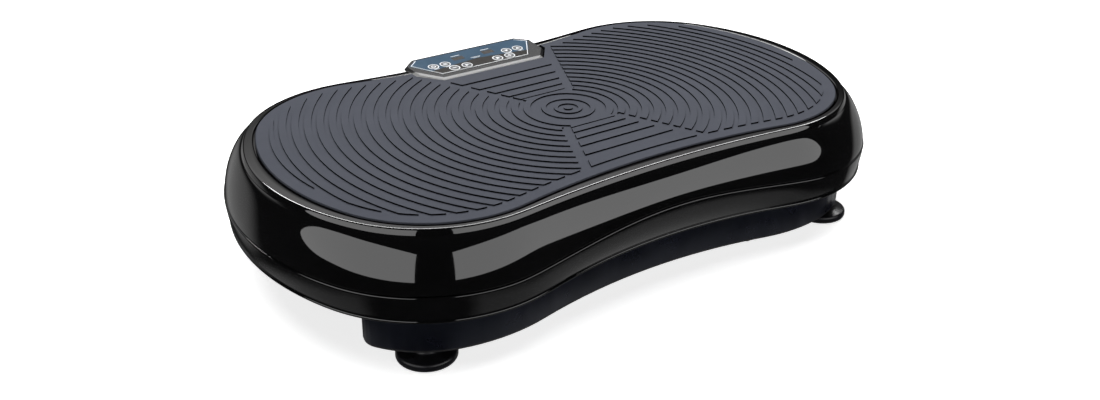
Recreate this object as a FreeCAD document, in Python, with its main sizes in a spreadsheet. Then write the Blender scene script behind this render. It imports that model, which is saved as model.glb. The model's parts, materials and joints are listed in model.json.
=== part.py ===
"""Vibration plate: a see-saw platform on a fixed base, driven by a motor, belt, crank and rod.

Millimetres. X runs along the long axis, Y points from the user towards the console, Z is up.
The origin is on the floor under the middle of the plate.
"""
import FreeCAD
import Part

import math
import os

import Sketcher

DOC = FreeCAD.newDocument("vibration_plate")
Vector = FreeCAD.Vector
FULL_TURN = 360

DIMENSIONS = {
    # Outline of the mat, the flat rim around it, the seam between the shells and the lower shell's edge.
    # Each outline is a waisted oval: length and waist are half sizes, bulge is the largest half width.
    "mat_length": 300.5, "mat_waist": 148.0, "mat_bulge": 165.6, "mat_corner": 118.0,
    "rim_length": 314.0, "rim_waist": 161.0, "rim_bulge": 173.3, "rim_corner": 130.0,
    "seam_length": 333.5, "seam_waist": 182.0, "seam_bulge": 196.0, "seam_corner": 141.0,
    "hem_length": 330.5, "hem_waist": 169.0, "hem_bulge": 194.0, "hem_corner": 139.0,
    "mouth_length": 314.0, "mouth_waist": 159.0, "mouth_bulge": 181.0, "mouth_corner": 130.0,
    "deck_length": 286.0, "deck_waist": 112.0, "deck_bulge": 150.0, "deck_corner": 105.0,
    "top_bulge_at": 172.0, "side_bulge_at": 180.0,
    # Heights above the floor.
    "mat_top": 131.0, "rim_top": 128.5, "recess_floor": 125.0, "seam_height": 80.0,
    "hem_height": 53.7, "belly_height": 64.0, "pivot_height": 85.0, "base_bottom": 13.5,
    "skirt_top": 66.0, "crank_height": 50.0, "motor_height": 58.0, "rod_pin_height": 96.0,
    # Walls and gaps.
    "shell_wall": 3.0, "seam_gap": 0.6, "mat_gap": 1.5, "press_gap": 0.02,
    # Base outline: its ends curve inwards between two round lobes.
    "base_end": 238.0, "base_waist": 152.5, "base_bulge": 173.5, "base_bulge_at": 174.0,
    "base_side_radius": 175.0, "shoulder_radius": 100.0, "lobe_radius": 20.0, "lobe_at": 260.0,
    "lobe_side": 114.5, "plate_thick": 2.0,
    # Mat ribs.
    "rib_height": 1.5, "mat_thick": 6.0, "mat_bevel": 1.2, "rib_margin": 13.5,
    "ring_centre": 16.0, "ring_pitch": 11.75, "ring_first": 37.4, "ring_land": 6.8,
    "bar_start": 33.4, "bar_width": 8.2, "bar_gap": 2.0, "wedge_half": 7.5, "wedge_slope": 0.447,
    "wedge_channel": 10.5,
    # Feet.
    "foot_x": 237.0, "foot_y": 143.0, "foot_radius": 27.0, "foot_neck": 13.0, "foot_lip": 3.5,
    "foot_cup": 5.0,
    # Drive.
    "crank_x": 85.0, "throw": 1.5, "shaft_radius": 6.0, "eccentric_radius": 8.5, "block_y": 24.0,
    "block_thick": 12.0, "bearing_radius": 14.0, "bearing_wide": 8.0, "rod_bearing_radius": 17.5,
    "rod_bearing_wide": 10.0, "rod_big_radius": 23.0, "rod_small_radius": 13.0, "rod_bore": 9.0,
    "rod_pin_radius": 5.0, "rod_thick": 12.0, "motor_x": -130.0, "motor_radius": 38.0,
    "motor_back": -55.0, "motor_front": 40.0, "motor_pulley": 12.0, "crank_pulley": 30.0,
    "belt_y": 65.0, "belt_wide": 10.0, "belt_thick": 1.8, "belt_gap": 0.3, "flange": 2.5,
    "flange_thick": 1.5, "pulley_wide": 15.0,
    # Pivots.
    "rail_y": 98.0, "rail_wide": 24.0, "rail_high": 20.0, "rail_length": 470.0, "rail_wall": 2.0,
    "lug_thick": 10.0, "lug_radius": 12.0, "pin_radius": 6.0, "bush_wall": 3.0, "bracket_thick": 5.0,
    "bracket_gap": 4.0, "bracket_wide": 44.0,
    # Console: its top is tilted towards the user; sizes are half widths and depths from its front edge.
    "console_front": 118.0, "console_height": 128.2, "console_tilt": 3.5, "console_front_half": 62.0,
    "console_side_half": 80.0, "console_wide_half": 81.0, "console_rear_half": 66.0,
    "console_side_at": 24.0, "console_wide_at": 52.0, "console_rear_at": 66.0, "console_drop": 32.0,
    "console_draw": 18.0, "console_wall": 2.5, "console_bevel": 3.0,
    "film_front_half": 54.7, "film_side_half": 75.5, "film_rear_half": 63.5, "film_front_at": 16.0,
    "film_side_at": 50.0, "film_rear_at": 60.7, "film_gap": 0.2, "film_thick": 0.6, "film_step": 0.7,
    "key_radius": 1.6,
    # Driver board between the motor and the crank.
    "board_x": -62.0, "board_y": -52.0, "board_long": 74.0, "board_wide": 90.0, "pillar_high": 8.0,
    # Switch on the rear wall.
    "switch_x": 17.0, "switch_high": 37.0, "trunnion_radius": 1.3, "rocker_tilt": 8.0,
    "rocker_set_back": 5.0,
}


# The flat panel for the inlet and switch stands this far out from the hollow of the waist.
PANEL_STEP = 2.0


class Size:
    """A length with the spreadsheet formula that gives it."""

    def __init__(self, number, formula):
        self.number = number
        self.formula = formula

    def joined(self, sign, other, number):
        return Size(number, "(" + self.formula + " " + sign + " " + other.formula + ")")

    def __add__(self, other):
        other = as_size(other)
        return self.joined("+", other, self.number + other.number)

    def __radd__(self, other):
        return as_size(other) + self

    def __sub__(self, other):
        other = as_size(other)
        return self.joined("-", other, self.number - other.number)

    def __rsub__(self, other):
        return as_size(other) - self

    def __mul__(self, other):
        other = as_size(other)
        return self.joined("*", other, self.number * other.number)

    def __rmul__(self, other):
        return as_size(other) * self

    def __truediv__(self, other):
        other = as_size(other)
        return self.joined("/", other, self.number / other.number)

    def __neg__(self):
        return as_size(0) - self


def as_size(value):
    """A plain number becomes a Size too."""
    if isinstance(value, Size):
        return value
    return Size(float(value), "(" + repr(float(value)) + ")")


class Sheet:
    """The document's spreadsheet; sheet.some_name is that cell as a Size."""

    def __init__(self, cells):
        self.object = DOC.addObject("Spreadsheet::Sheet", "dims")
        for row, (alias, number) in enumerate(cells.items(), start=1):
            self.object.set("A%d" % row, alias)
            self.object.set("B%d" % row, str(number))
            self.object.setAlias("B%d" % row, alias)
            setattr(self, alias, Size(number, "dims." + alias))


d = Sheet(DIMENSIONS)
DOC.recompute()

PARTS = []


def bind(item, prop, size):
    """Give a property its formula."""
    item.setExpression(prop, as_size(size).formula)


def node(item, label):
    """Register an object as a sub-part of the assembly."""
    item.Label = label
    PARTS.append(item)
    return item


# ---------------------------------------------------------------- sketches and features

def new_body(name):
    return DOC.addObject("PartDesign::Body", name)


def new_sketch(body, plane="XY_Plane", offset=0, turn=0):
    """A sketch on a plane of the body's own origin, moved along the plane's normal."""
    sketch = body.newObject("Sketcher::SketchObject", body.Name + "_sketch")
    planes = [item for item in body.Origin.OriginFeatures if item.Role == plane]
    sketch.AttachmentSupport = [(planes[0], "")]
    sketch.MapMode = "FlatFace"
    sketch.AttachmentOffset = FreeCAD.Placement(Vector(), FreeCAD.Rotation(Vector(1, 0, 0), turn))
    bind(sketch, "AttachmentOffset.Base.z", offset)
    return sketch


def dimension(sketch, kind, references, size):
    """A driving dimension; a signed size sets the direction of DistanceX and DistanceY."""
    size = as_size(size)
    index = sketch.addConstraint(Sketcher.Constraint(kind, *references, size.number))
    sketch.setExpression("Constraints[%d]" % index, size.formula)


def add_arc(sketch, centre, radius, start, end):
    """A counter-clockwise arc between two angles in radians."""
    circle = Part.Circle(Vector(centre[0], centre[1], 0), Vector(0, 0, 1), radius)
    return sketch.addGeometry(Part.ArcOfCircle(circle, start, end), False)


def add_line(sketch, start, end):
    line = Part.LineSegment(Vector(start[0], start[1], 0), Vector(end[0], end[1], 0))
    return sketch.addGeometry(line, False)


def close_quarter(sketch, first, first_point, last, last_point, length, waist):
    """Join a quarter outline to the origin along both axes."""
    along_x = add_line(sketch, (0, 0), (length.number, 0))
    along_y = add_line(sketch, (0, 0), (0, waist.number))
    for line, curve, point in ((along_x, first, first_point), (along_y, last, last_point)):
        sketch.addConstraint(Sketcher.Constraint("Coincident", line, 1, -1, 1))
        sketch.addConstraint(Sketcher.Constraint("Coincident", line, 2, curve, point))
    sketch.addConstraint(Sketcher.Constraint("Horizontal", along_x))
    sketch.addConstraint(Sketcher.Constraint("Vertical", along_y))
    dimension(sketch, "DistanceX", (along_x, 1, along_x, 2), length)
    dimension(sketch, "DistanceY", (along_y, 1, along_y, 2), waist)


def quarter_oval(sketch, length, waist, bulge, bulge_at, corner):
    """First quadrant of a waisted oval: an end arc, a corner arc and a hollow waist arc."""
    length, waist, bulge = as_size(length), as_size(waist), as_size(bulge)
    bulge_at, corner = as_size(bulge_at), as_size(corner)
    reach = length.number - bulge_at.number
    rise = bulge.number - corner.number
    end_radius = (corner.number ** 2 - rise ** 2 - reach ** 2) / (2 * (corner.number - reach))
    dip = bulge.number - waist.number
    waist_radius = (bulge_at.number ** 2 + dip ** 2) / (2 * dip) - corner.number
    end_centre = length.number - end_radius
    waist_centre = waist.number + waist_radius
    end_angle = math.atan2(rise, bulge_at.number - end_centre)
    waist_angle = math.atan2(waist_centre - rise, bulge_at.number)
    end = add_arc(sketch, (end_centre, 0), end_radius, 0, end_angle)
    side = add_arc(sketch, (bulge_at.number, rise), corner.number, end_angle, math.pi - waist_angle)
    hollow = add_arc(sketch, (0, waist_centre), waist_radius, 1.5 * math.pi, 2 * math.pi - waist_angle)
    sketch.addConstraint(Sketcher.Constraint("Tangent", end, 2, side, 1))
    sketch.addConstraint(Sketcher.Constraint("Tangent", side, 2, hollow, 2))
    sketch.addConstraint(Sketcher.Constraint("PointOnObject", end, 3, -1))
    sketch.addConstraint(Sketcher.Constraint("PointOnObject", hollow, 3, -2))
    close_quarter(sketch, end, 1, hollow, 1, length, waist)
    dimension(sketch, "DistanceX", (-1, 1, side, 3), bulge_at)
    dimension(sketch, "DistanceY", (-1, 1, side, 3), bulge - corner)
    dimension(sketch, "Radius", (side,), corner)
    return sketch


def quarter_base(sketch, inset):
    """First quadrant of the base outline: hollow end, lobe, shoulder, long side and hollow waist."""
    end, waist = d.base_end - inset, d.base_waist - inset
    side_radius, lobe_radius = d.base_side_radius - inset, d.lobe_radius - inset
    shoulder_radius = d.shoulder_radius - inset
    side_rise = d.base_bulge - d.base_side_radius
    lobe_y = d.lobe_side.number
    shoulder_x, shoulder_y = shoulder_centre()
    shift = end.number - d.lobe_at.number
    end_radius = (lobe_y ** 2 + shift ** 2 - lobe_radius.number ** 2) / (2 * (lobe_radius.number - shift))
    dip = side_radius.number + side_rise.number - waist.number
    waist_radius = (d.base_bulge_at.number ** 2 + dip ** 2) / (2 * dip) - side_radius.number
    end_centre = end.number + end_radius
    waist_centre = waist.number + waist_radius
    end_angle = math.atan2(lobe_y, end_centre - d.lobe_at.number)
    lobe_angle = math.atan2(lobe_y - shoulder_y, d.lobe_at.number - shoulder_x)
    side_angle = math.atan2(shoulder_y - side_rise.number, shoulder_x - d.base_bulge_at.number)
    waist_angle = math.atan2(waist_centre - side_rise.number, d.base_bulge_at.number)
    hollow_end = add_arc(sketch, (end_centre, 0), end_radius, math.pi - end_angle, math.pi)
    lobe = add_arc(sketch, (d.lobe_at.number, lobe_y), lobe_radius.number, -end_angle, lobe_angle)
    shoulder = add_arc(sketch, (shoulder_x, shoulder_y), shoulder_radius.number, lobe_angle, side_angle)
    side = add_arc(sketch, (d.base_bulge_at.number, side_rise.number), side_radius.number,
                   side_angle, math.pi - waist_angle)
    hollow = add_arc(sketch, (0, waist_centre), waist_radius, 1.5 * math.pi, 2 * math.pi - waist_angle)
    sketch.addConstraint(Sketcher.Constraint("Tangent", hollow_end, 1, lobe, 1))
    sketch.addConstraint(Sketcher.Constraint("Tangent", lobe, 2, shoulder, 1))
    sketch.addConstraint(Sketcher.Constraint("Tangent", shoulder, 2, side, 1))
    sketch.addConstraint(Sketcher.Constraint("Tangent", side, 2, hollow, 2))
    sketch.addConstraint(Sketcher.Constraint("PointOnObject", hollow_end, 3, -1))
    sketch.addConstraint(Sketcher.Constraint("PointOnObject", hollow, 3, -2))
    close_quarter(sketch, hollow_end, 2, hollow, 1, end, waist)
    dimension(sketch, "DistanceX", (-1, 1, side, 3), d.base_bulge_at)
    dimension(sketch, "DistanceY", (-1, 1, side, 3), side_rise)
    dimension(sketch, "Radius", (side,), side_radius)
    dimension(sketch, "Radius", (shoulder,), shoulder_radius)
    dimension(sketch, "Radius", (lobe,), lobe_radius)
    dimension(sketch, "DistanceX", (-1, 1, lobe, 3), d.lobe_at)
    dimension(sketch, "DistanceY", (-1, 1, lobe, 3), d.lobe_side)
    return sketch


def shoulder_centre():
    """Centre of the arc that touches the long side and the lobe from inside."""
    side_x, side_y = d.base_bulge_at.number, d.base_bulge.number - d.base_side_radius.number
    run, climb = d.lobe_at.number - side_x, d.lobe_side.number - side_y
    apart = math.hypot(run, climb)
    from_side = d.base_side_radius.number - d.shoulder_radius.number
    from_lobe = d.shoulder_radius.number - d.lobe_radius.number
    along = (from_side ** 2 - from_lobe ** 2 + apart ** 2) / (2 * apart)
    aside = math.sqrt(from_side ** 2 - along ** 2)
    return side_x + (run * along - climb * aside) / apart, side_y + (climb * along + run * aside) / apart


def polygon(sketch, points):
    """A closed outline of straight lines through points given as sizes."""
    points = [(as_size(x), as_size(y)) for x, y in points]
    numbers = [(x.number, y.number) for x, y in points]
    lines = [add_line(sketch, numbers[i - 1], numbers[i]) for i in range(len(points))]
    for i, line in enumerate(lines):
        sketch.addConstraint(Sketcher.Constraint("Coincident", lines[i - 1], 2, line, 1))
        dimension(sketch, "DistanceX", (-1, 1, line, 2), points[i][0])
        dimension(sketch, "DistanceY", (-1, 1, line, 2), points[i][1])
    return sketch


def rectangle(sketch, x_low, x_high, y_low, y_high):
    return polygon(sketch, [(x_low, y_low), (x_high, y_low), (x_high, y_high), (x_low, y_high)])


def circle(sketch, x, y, radius):
    x, y, radius = as_size(x), as_size(y), as_size(radius)
    index = sketch.addGeometry(Part.Circle(Vector(x.number, y.number, 0), Vector(0, 0, 1), radius.number))
    dimension(sketch, "DistanceX", (-1, 1, index, 3), x)
    dimension(sketch, "DistanceY", (-1, 1, index, 3), y)
    dimension(sketch, "Radius", (index,), radius)
    return sketch


def feature(body, kind, profile):
    """A PartDesign feature made from a sketch; cutting features must remove material."""
    item = body.newObject("PartDesign::" + kind, body.Name + "_" + kind.lower())
    item.Profile = profile
    return item


def pad(body, sketch, length, middle=False, back=False):
    item = feature(body, "Pad", sketch)
    bind(item, "Length", length)
    item.SideType = "Symmetric" if middle else "One side"
    item.Reversed = back
    return item


def pocket(body, sketch, length, middle=False, back=False):
    """Cut a sketch into the body and make sure that something was removed."""
    DOC.recompute()
    before = body.Shape.Volume
    item = feature(body, "Pocket", sketch)
    bind(item, "Length", length)
    item.SideType = "Symmetric" if middle else "One side"
    item.Reversed = back
    DOC.recompute()
    if body.Shape.Volume > before - 0.01:
        raise RuntimeError(body.Name + ": a pocket removed nothing")
    return item


def loft(body, sketches, cut=False, ruled=False):
    item = feature(body, "SubtractiveLoft" if cut else "AdditiveLoft", sketches[0])
    item.Sections = sketches[1:]
    item.Ruled = ruled
    return item


def revolve(body, sketch, cut=False, axis="V_Axis"):
    item = feature(body, "Groove" if cut else "Revolution", sketch)
    item.ReferenceAxis = (sketch, [axis])
    item.Angle = FULL_TURN
    return item


def mirror_to_full(body):
    """Complete a body that was built as one quadrant."""
    for role in ("YZ_Plane", "XZ_Plane"):
        DOC.recompute()
        base = body.Tip
        plane = [item for item in body.Origin.OriginFeatures if item.Role == role][0]
        item = body.newObject("PartDesign::Mirrored", body.Name + "_mirror")
        item.TransformMode = "Whole shape"
        item.BaseFeature = base
        item.MirrorPlane = (plane, [""])
        body.Tip = item
    DOC.recompute()


# ---------------------------------------------------------------- primitives

def place(item, x, y, z, axis=None, angle=0):
    """Set a primitive's position with formulas, and its direction."""
    if axis is not None:
        item.Placement = FreeCAD.Placement(Vector(), FreeCAD.Rotation(Vector(*axis), angle))
    bind(item, "Placement.Base.x", x)
    bind(item, "Placement.Base.y", y)
    bind(item, "Placement.Base.z", z)
    return item


def cylinder(radius, height, x, y, z, along="z"):
    """A cylinder that starts at a point and runs towards +Z or +Y."""
    item = DOC.addObject("Part::Cylinder", "cylinder")
    bind(item, "Radius", radius)
    bind(item, "Height", height)
    if along == "y":
        return place(item, x, y, z, (1, 0, 0), -90)
    return place(item, x, y, z)


def box(x_low, y_low, z_low, length, width, height):
    item = DOC.addObject("Part::Box", "box")
    bind(item, "Length", length)
    bind(item, "Width", width)
    bind(item, "Height", height)
    return place(item, x_low, y_low, z_low)


def cut(base, tool):
    item = DOC.addObject("Part::Cut", "cut")
    item.Base = base
    item.Tool = tool
    return item


def fuse(parts):
    item = DOC.addObject("Part::MultiFuse", "fuse")
    item.Shapes = parts
    return item


def group(parts):
    item = DOC.addObject("Part::Compound", "group")
    item.Links = parts
    return item


def tube(outer, inner, height, x, y, z, along="z"):
    """A ring or sleeve."""
    return cut(cylinder(outer, height, x, y, z, along), cylinder(inner, height, x, y, z, along))


# ---------------------------------------------------------------- outlines used more than once

def rim_to_seam(share, inset, kind="seam"):
    """The oval outline a given share of the way from the rim out to the seam."""
    def mix(part):
        outer = getattr(d, kind + "_" + part)
        inner = getattr(d, "rim_" + part)
        return inner * (1 - share) + outer * share
    bulge_at = d.top_bulge_at * (1 - share) + d.side_bulge_at * share
    return mix("length") - inset, mix("waist") - inset, mix("bulge") - inset, bulge_at, mix("corner") - inset


def named_oval(name, bulge_at, inset=0):
    """One of the oval outlines in the sheet, drawn in by an even inset."""
    parts = [getattr(d, name + "_" + part) - inset for part in ("length", "waist", "bulge", "corner")]
    return parts[0], parts[1], parts[2], bulge_at, parts[3]


def solid_oval(name, outline, low, thick):
    """A flat slab with a waisted oval outline."""
    body = new_body(name)
    pad(body, quarter_oval(new_sketch(body, offset=low), *outline), thick)
    mirror_to_full(body)
    return body


def shoulder_share(rise):
    """How far out the shoulder is at a share of its height: 1 at the seam, 0 at the rim."""
    return (1 - rise ** 1.5) ** (1 / 1.5)


def inset_outline(corners, inset):
    """The corners of a counter-clockwise outline, drawn in by an even inset."""
    places = [(as_size(x), as_size(y)) for x, y in corners]
    moved = []
    for index, here in enumerate(places):
        normals = []
        for start, end in ((places[index - 1], here), (here, places[(index + 1) % len(places)])):
            run = end[0].number - start[0].number
            climb = end[1].number - start[1].number
            length = math.hypot(run, climb)
            normals.append((-climb / length, run / length))
        (first_x, first_y), (next_x, next_y) = normals
        share = 1 / (1 + first_x * next_x + first_y * next_y)
        moved.append((here[0] + as_size(inset) * ((first_x + next_x) * share),
                      here[1] + as_size(inset) * ((first_y + next_y) * share)))
    return moved


def housing_corners(inset=0, draw=0):
    """The console housing's eight-sided outline, front edge first; its rear and sides can draw in."""
    right = [
        (d.console_front_half, as_size(0)),
        (d.console_side_half - draw, d.console_side_at),
        (d.console_wide_half - draw, d.console_wide_at - draw / 2),
        (d.console_rear_half - draw, d.console_rear_at - draw),
    ]
    return inset_outline(right + [(-x, y) for x, y in reversed(right)], inset)


def film_corners(inset=0):
    """The printed film's six-sided outline, front edge first."""
    right = [
        (d.film_front_half, d.film_front_at),
        (d.film_side_half, d.film_side_at),
        (d.film_rear_half, d.film_rear_at),
    ]
    return inset_outline(right + [(-x, y) for x, y in reversed(right)], inset)


def tilt_console(item):
    """Stand a console piece on the tilted console plane, whose origin is its front edge."""
    item.Placement = FreeCAD.Placement(Vector(), FreeCAD.Rotation(Vector(1, 0, 0), d.console_tilt.number))
    bind(item, "Placement.Rotation.Angle", d.console_tilt)
    bind(item, "Placement.Base.y", d.console_front)
    bind(item, "Placement.Base.z", d.console_height)
    return item


def console_block(name, inset, top, top_inset):
    """A solid with the console housing's shape: its upper edge, its full width and its lower edge."""
    body = new_body(name)
    sections = ((top, housing_corners(top_inset)), (-d.console_bevel, housing_corners(inset)),
                (-d.console_drop, housing_corners(inset, d.console_draw)))
    loft(body, [polygon(new_sketch(body, offset=height), corners) for height, corners in sections], ruled=True)
    return tilt_console(body)


# ---------------------------------------------------------------- platform: shells, deck and mat

SHOULDER_RISES = (0.0, 0.3, 0.55, 0.78, 0.93, 1.0)


def shoulder_sections(body, inset, top):
    """Sketches of the top shell's shoulder from the seam up to the rim."""
    span = top - d.seam_height
    return [quarter_oval(new_sketch(body, offset=d.seam_height + span * rise),
                         *rim_to_seam(shoulder_share(rise), inset)) for rise in SHOULDER_RISES]


def top_shell():
    """Glossy upper shell: shoulder, flat rim, recess for the mat and screw bosses."""
    body = new_body("top_shell_body")
    loft(body, shoulder_sections(body, 0, d.rim_top))
    cavity_top = d.recess_floor - d.shell_wall
    loft(body, shoulder_sections(body, d.shell_wall, cavity_top), cut=True)
    mirror_to_full(body)
    recess = solid_oval("mat_recess", named_oval("mat", d.top_bulge_at, -d.mat_gap), d.recess_floor, 10)
    seat = console_block("console_seat", 0, 12, 0)
    bosses = [tube(4.5, 1.3, 44, x, y, d.hem_height + 2.7) for x, y in boss_places()]
    shell = cut(fuse([body] + bosses), group([recess, seat]))
    holes = group([cylinder(5.6, 20, x, y, 115) for x, y in deck_bolt_places()])
    return node(cut(shell, holes), "top_shell")


def boss_places():
    """Eight screw positions between the lower shell's mouth and its wall."""
    radius = d.seam_corner - 11.5
    rise = d.seam_bulge - d.seam_corner
    places = []
    for sign_x in (-1, 1):
        for sign_y in (-1, 1):
            for degrees in (35, 80):
                angle = math.radians(degrees)
                x = d.side_bulge_at + radius * math.cos(angle)
                y = rise + radius * math.sin(angle)
                places.append((x * sign_x, y * sign_y))
    return places


def lower_shell():
    """Glossy lower shell: a shallow ring that tucks in towards the base."""
    body = new_body("lower_shell_body")
    top = d.seam_height - d.seam_gap
    heights = (top, d.belly_height, d.hem_height + 3, d.hem_height)
    shares = ("seam", "seam", "hem", "hem")
    insets = (0.8, 0, 0, 2.5)
    outer = [quarter_oval(new_sketch(body, offset=height), *named_oval(name, d.side_bulge_at, inset))
             for height, name, inset in zip(heights, shares, insets)]
    loft(body, outer)
    cavity_heights = (top, d.belly_height, d.hem_height + 2.5)
    inner = [quarter_oval(new_sketch(body, offset=height),
                          *named_oval(name, d.side_bulge_at, inset + d.shell_wall))
             for height, name, inset in zip(cavity_heights, shares, (0.8, 0.3, 0))]
    loft(body, inner, cut=True)
    mirror_to_full(body)
    mouth = solid_oval("shell_mouth", named_oval("mouth", d.side_bulge_at), d.hem_height - 5, 20)
    holes = [cylinder(1.8, 20, x, y, d.hem_height - 5) for x, y in boss_places()]
    return node(cut(body, group([mouth] + holes)), "lower_shell")


def deck_plate():
    """Steel plate that carries the user's weight under the mat recess."""
    slab = solid_oval("deck_slab", named_oval("deck", d.top_bulge_at), d.recess_floor - 6, 3)
    holes = [cylinder(3.2, 20, x, y, 112) for x, y in deck_bolt_places()]
    return node(cut(slab, group(holes)), "deck_plate")


def deck_bolt_places():
    """Bolts through the deck into both rails."""
    return [(along, side * d.rail_y) for along in (-200, -60, 60, 200) for side in (-1, 1)]


def deck_rail(label, side):
    """Square tube under the deck, along the plate."""
    low = d.recess_floor - 6 - d.rail_high
    y_low = d.rail_y * side - d.rail_wide / 2
    x_low = d.rail_length / -2
    outer = box(x_low, y_low, low, d.rail_length, d.rail_wide, d.rail_high)
    wall = d.rail_wall
    inner = box(x_low - 1, y_low + wall, low + wall, d.rail_length + 2, d.rail_wide - wall * 2,
                d.rail_high - wall * 2)
    holes = [cylinder(3.2, 10, x, y, low + d.rail_high - 5) for x, y in deck_bolt_places()
             if y.number * side > 0]
    return node(cut(outer, group([inner] + holes)), label)


def screws(places, base, head_radius, head_high, shank_radius, shank_long, upward):
    """A set of identical screws; the head sits at the base height and the shank points up or down."""
    items = []
    for x, y in places:
        head_low = base if not upward else base - head_high
        shank_low = base - shank_long if not upward else base
        head = cylinder(head_radius, head_high, x, y, head_low)
        slot = box(as_size(x) - 0.5, as_size(y) - head_radius, head_low, 1, head_radius * 2, 0.8)
        if not upward:
            bind(slot, "Placement.Base.z", as_size(head_low) + head_high - 0.8)
        shank = cylinder(shank_radius, shank_long, x, y, shank_low)
        items.append(cut(fuse([head, shank]), slot))
    return group(items)


def rib_rings():
    """The ring-shaped channels between the mat's ribs, as one revolved set."""
    body = new_body("rib_rings")
    sketch = new_sketch(body, "XZ_Plane")
    low = d.mat_top - d.rib_height
    channel = d.ring_pitch - d.ring_land
    for turn in range(22):
        inner = d.ring_first + d.ring_land + d.ring_pitch * turn
        rectangle(sketch, inner, inner + channel, low, low + d.rib_height + 1)
    for inner, outer in ((4.5, 10.0), (14.0, 22.0), (26.4, d.ring_first)):
        rectangle(sketch, as_size(inner), as_size(outer), low, low + d.rib_height + 1)
    revolve(body, sketch)
    bind(body, "Placement.Base.y", -d.ring_centre)
    return body


def wedge_outline(body, offset, half, slope, start, end, toward):
    """A trapezoid that widens away from the ring centre, towards the user or the console."""
    near, far = as_size(start), as_size(end)
    near_half, far_half = half + near * slope, half + far * slope
    near_y = near * toward - d.ring_centre
    far_y = far * toward - d.ring_centre
    sketch = new_sketch(body, offset=offset)
    return polygon(sketch, [(-near_half, near_y), (near_half, near_y), (far_half, far_y), (-far_half, far_y)])


def wedge(toward):
    """The channels of one wedge: a sunken field with straight bars left standing in it."""
    low = d.mat_top - d.rib_height
    body = new_body("wedge")
    start = d.ring_first
    field_half = d.wedge_half + d.wedge_channel
    pad(body, wedge_outline(body, low, field_half, d.wedge_slope, start, 220, toward), 10)
    bar_near = d.bar_start
    for turn in range(6):
        bar_far = bar_near + d.bar_width + 0.4 * turn + (3 if turn == 5 else 0)
        outline = wedge_outline(body, low - 1, d.wedge_half, d.wedge_slope, bar_near, bar_far, toward)
        pocket(body, outline, 20, back=True)
        bar_near = bar_far + d.bar_gap * (turn + 1)
    return body


def mat_slab():
    """The mat's slab with a bevelled upper edge."""
    body = new_body("mat_slab")
    full, drawn_in = [named_oval("mat", d.top_bulge_at, inset) for inset in (0, d.mat_bevel)]
    high = d.mat_top - d.rib_height
    pad(body, quarter_oval(new_sketch(body, offset=d.recess_floor), *full),
        d.mat_thick - d.rib_height - d.mat_bevel)
    loft(body, [quarter_oval(new_sketch(body, offset=high - d.mat_bevel), *full),
                quarter_oval(new_sketch(body, offset=high), *drawn_in)])
    mirror_to_full(body)
    return body


def foot_mat():
    """Rubber standing mat with raised ring ribs, two wedges of straight ribs and a notch for the console."""
    root = 1
    field = solid_oval("rib_field", named_oval("mat", d.top_bulge_at, d.rib_margin),
                       d.mat_top - d.rib_height - root, d.rib_height + root)
    channels = group([cut(rib_rings(), group([wedge_cover(-1), wedge_cover(1)])), wedge(-1), wedge(1)])
    notch = new_body("console_notch")
    pad(notch, polygon(new_sketch(notch, offset=d.recess_floor - 5), housing_corners(-1.5)), 30)
    bind(notch, "Placement.Base.y", d.console_front)
    margin = new_body("console_margin")
    pad(margin, polygon(new_sketch(margin, offset=d.recess_floor - 5), housing_corners(-7)), 30)
    bind(margin, "Placement.Base.y", d.console_front)
    slab = fuse([mat_slab(), cut(field, margin)])
    return node(cut(slab, group([channels, notch])), "foot_mat")


def wedge_cover(toward):
    """The whole area of one wedge, kept free of ring channels."""
    body = new_body("wedge_cover")
    field_half = d.wedge_half + d.wedge_channel
    outline = wedge_outline(body, d.mat_top - 10, field_half, d.wedge_slope, d.ring_first, 260, toward)
    pad(body, outline, 20)
    return body


# ---------------------------------------------------------------- platform: pivots

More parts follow.
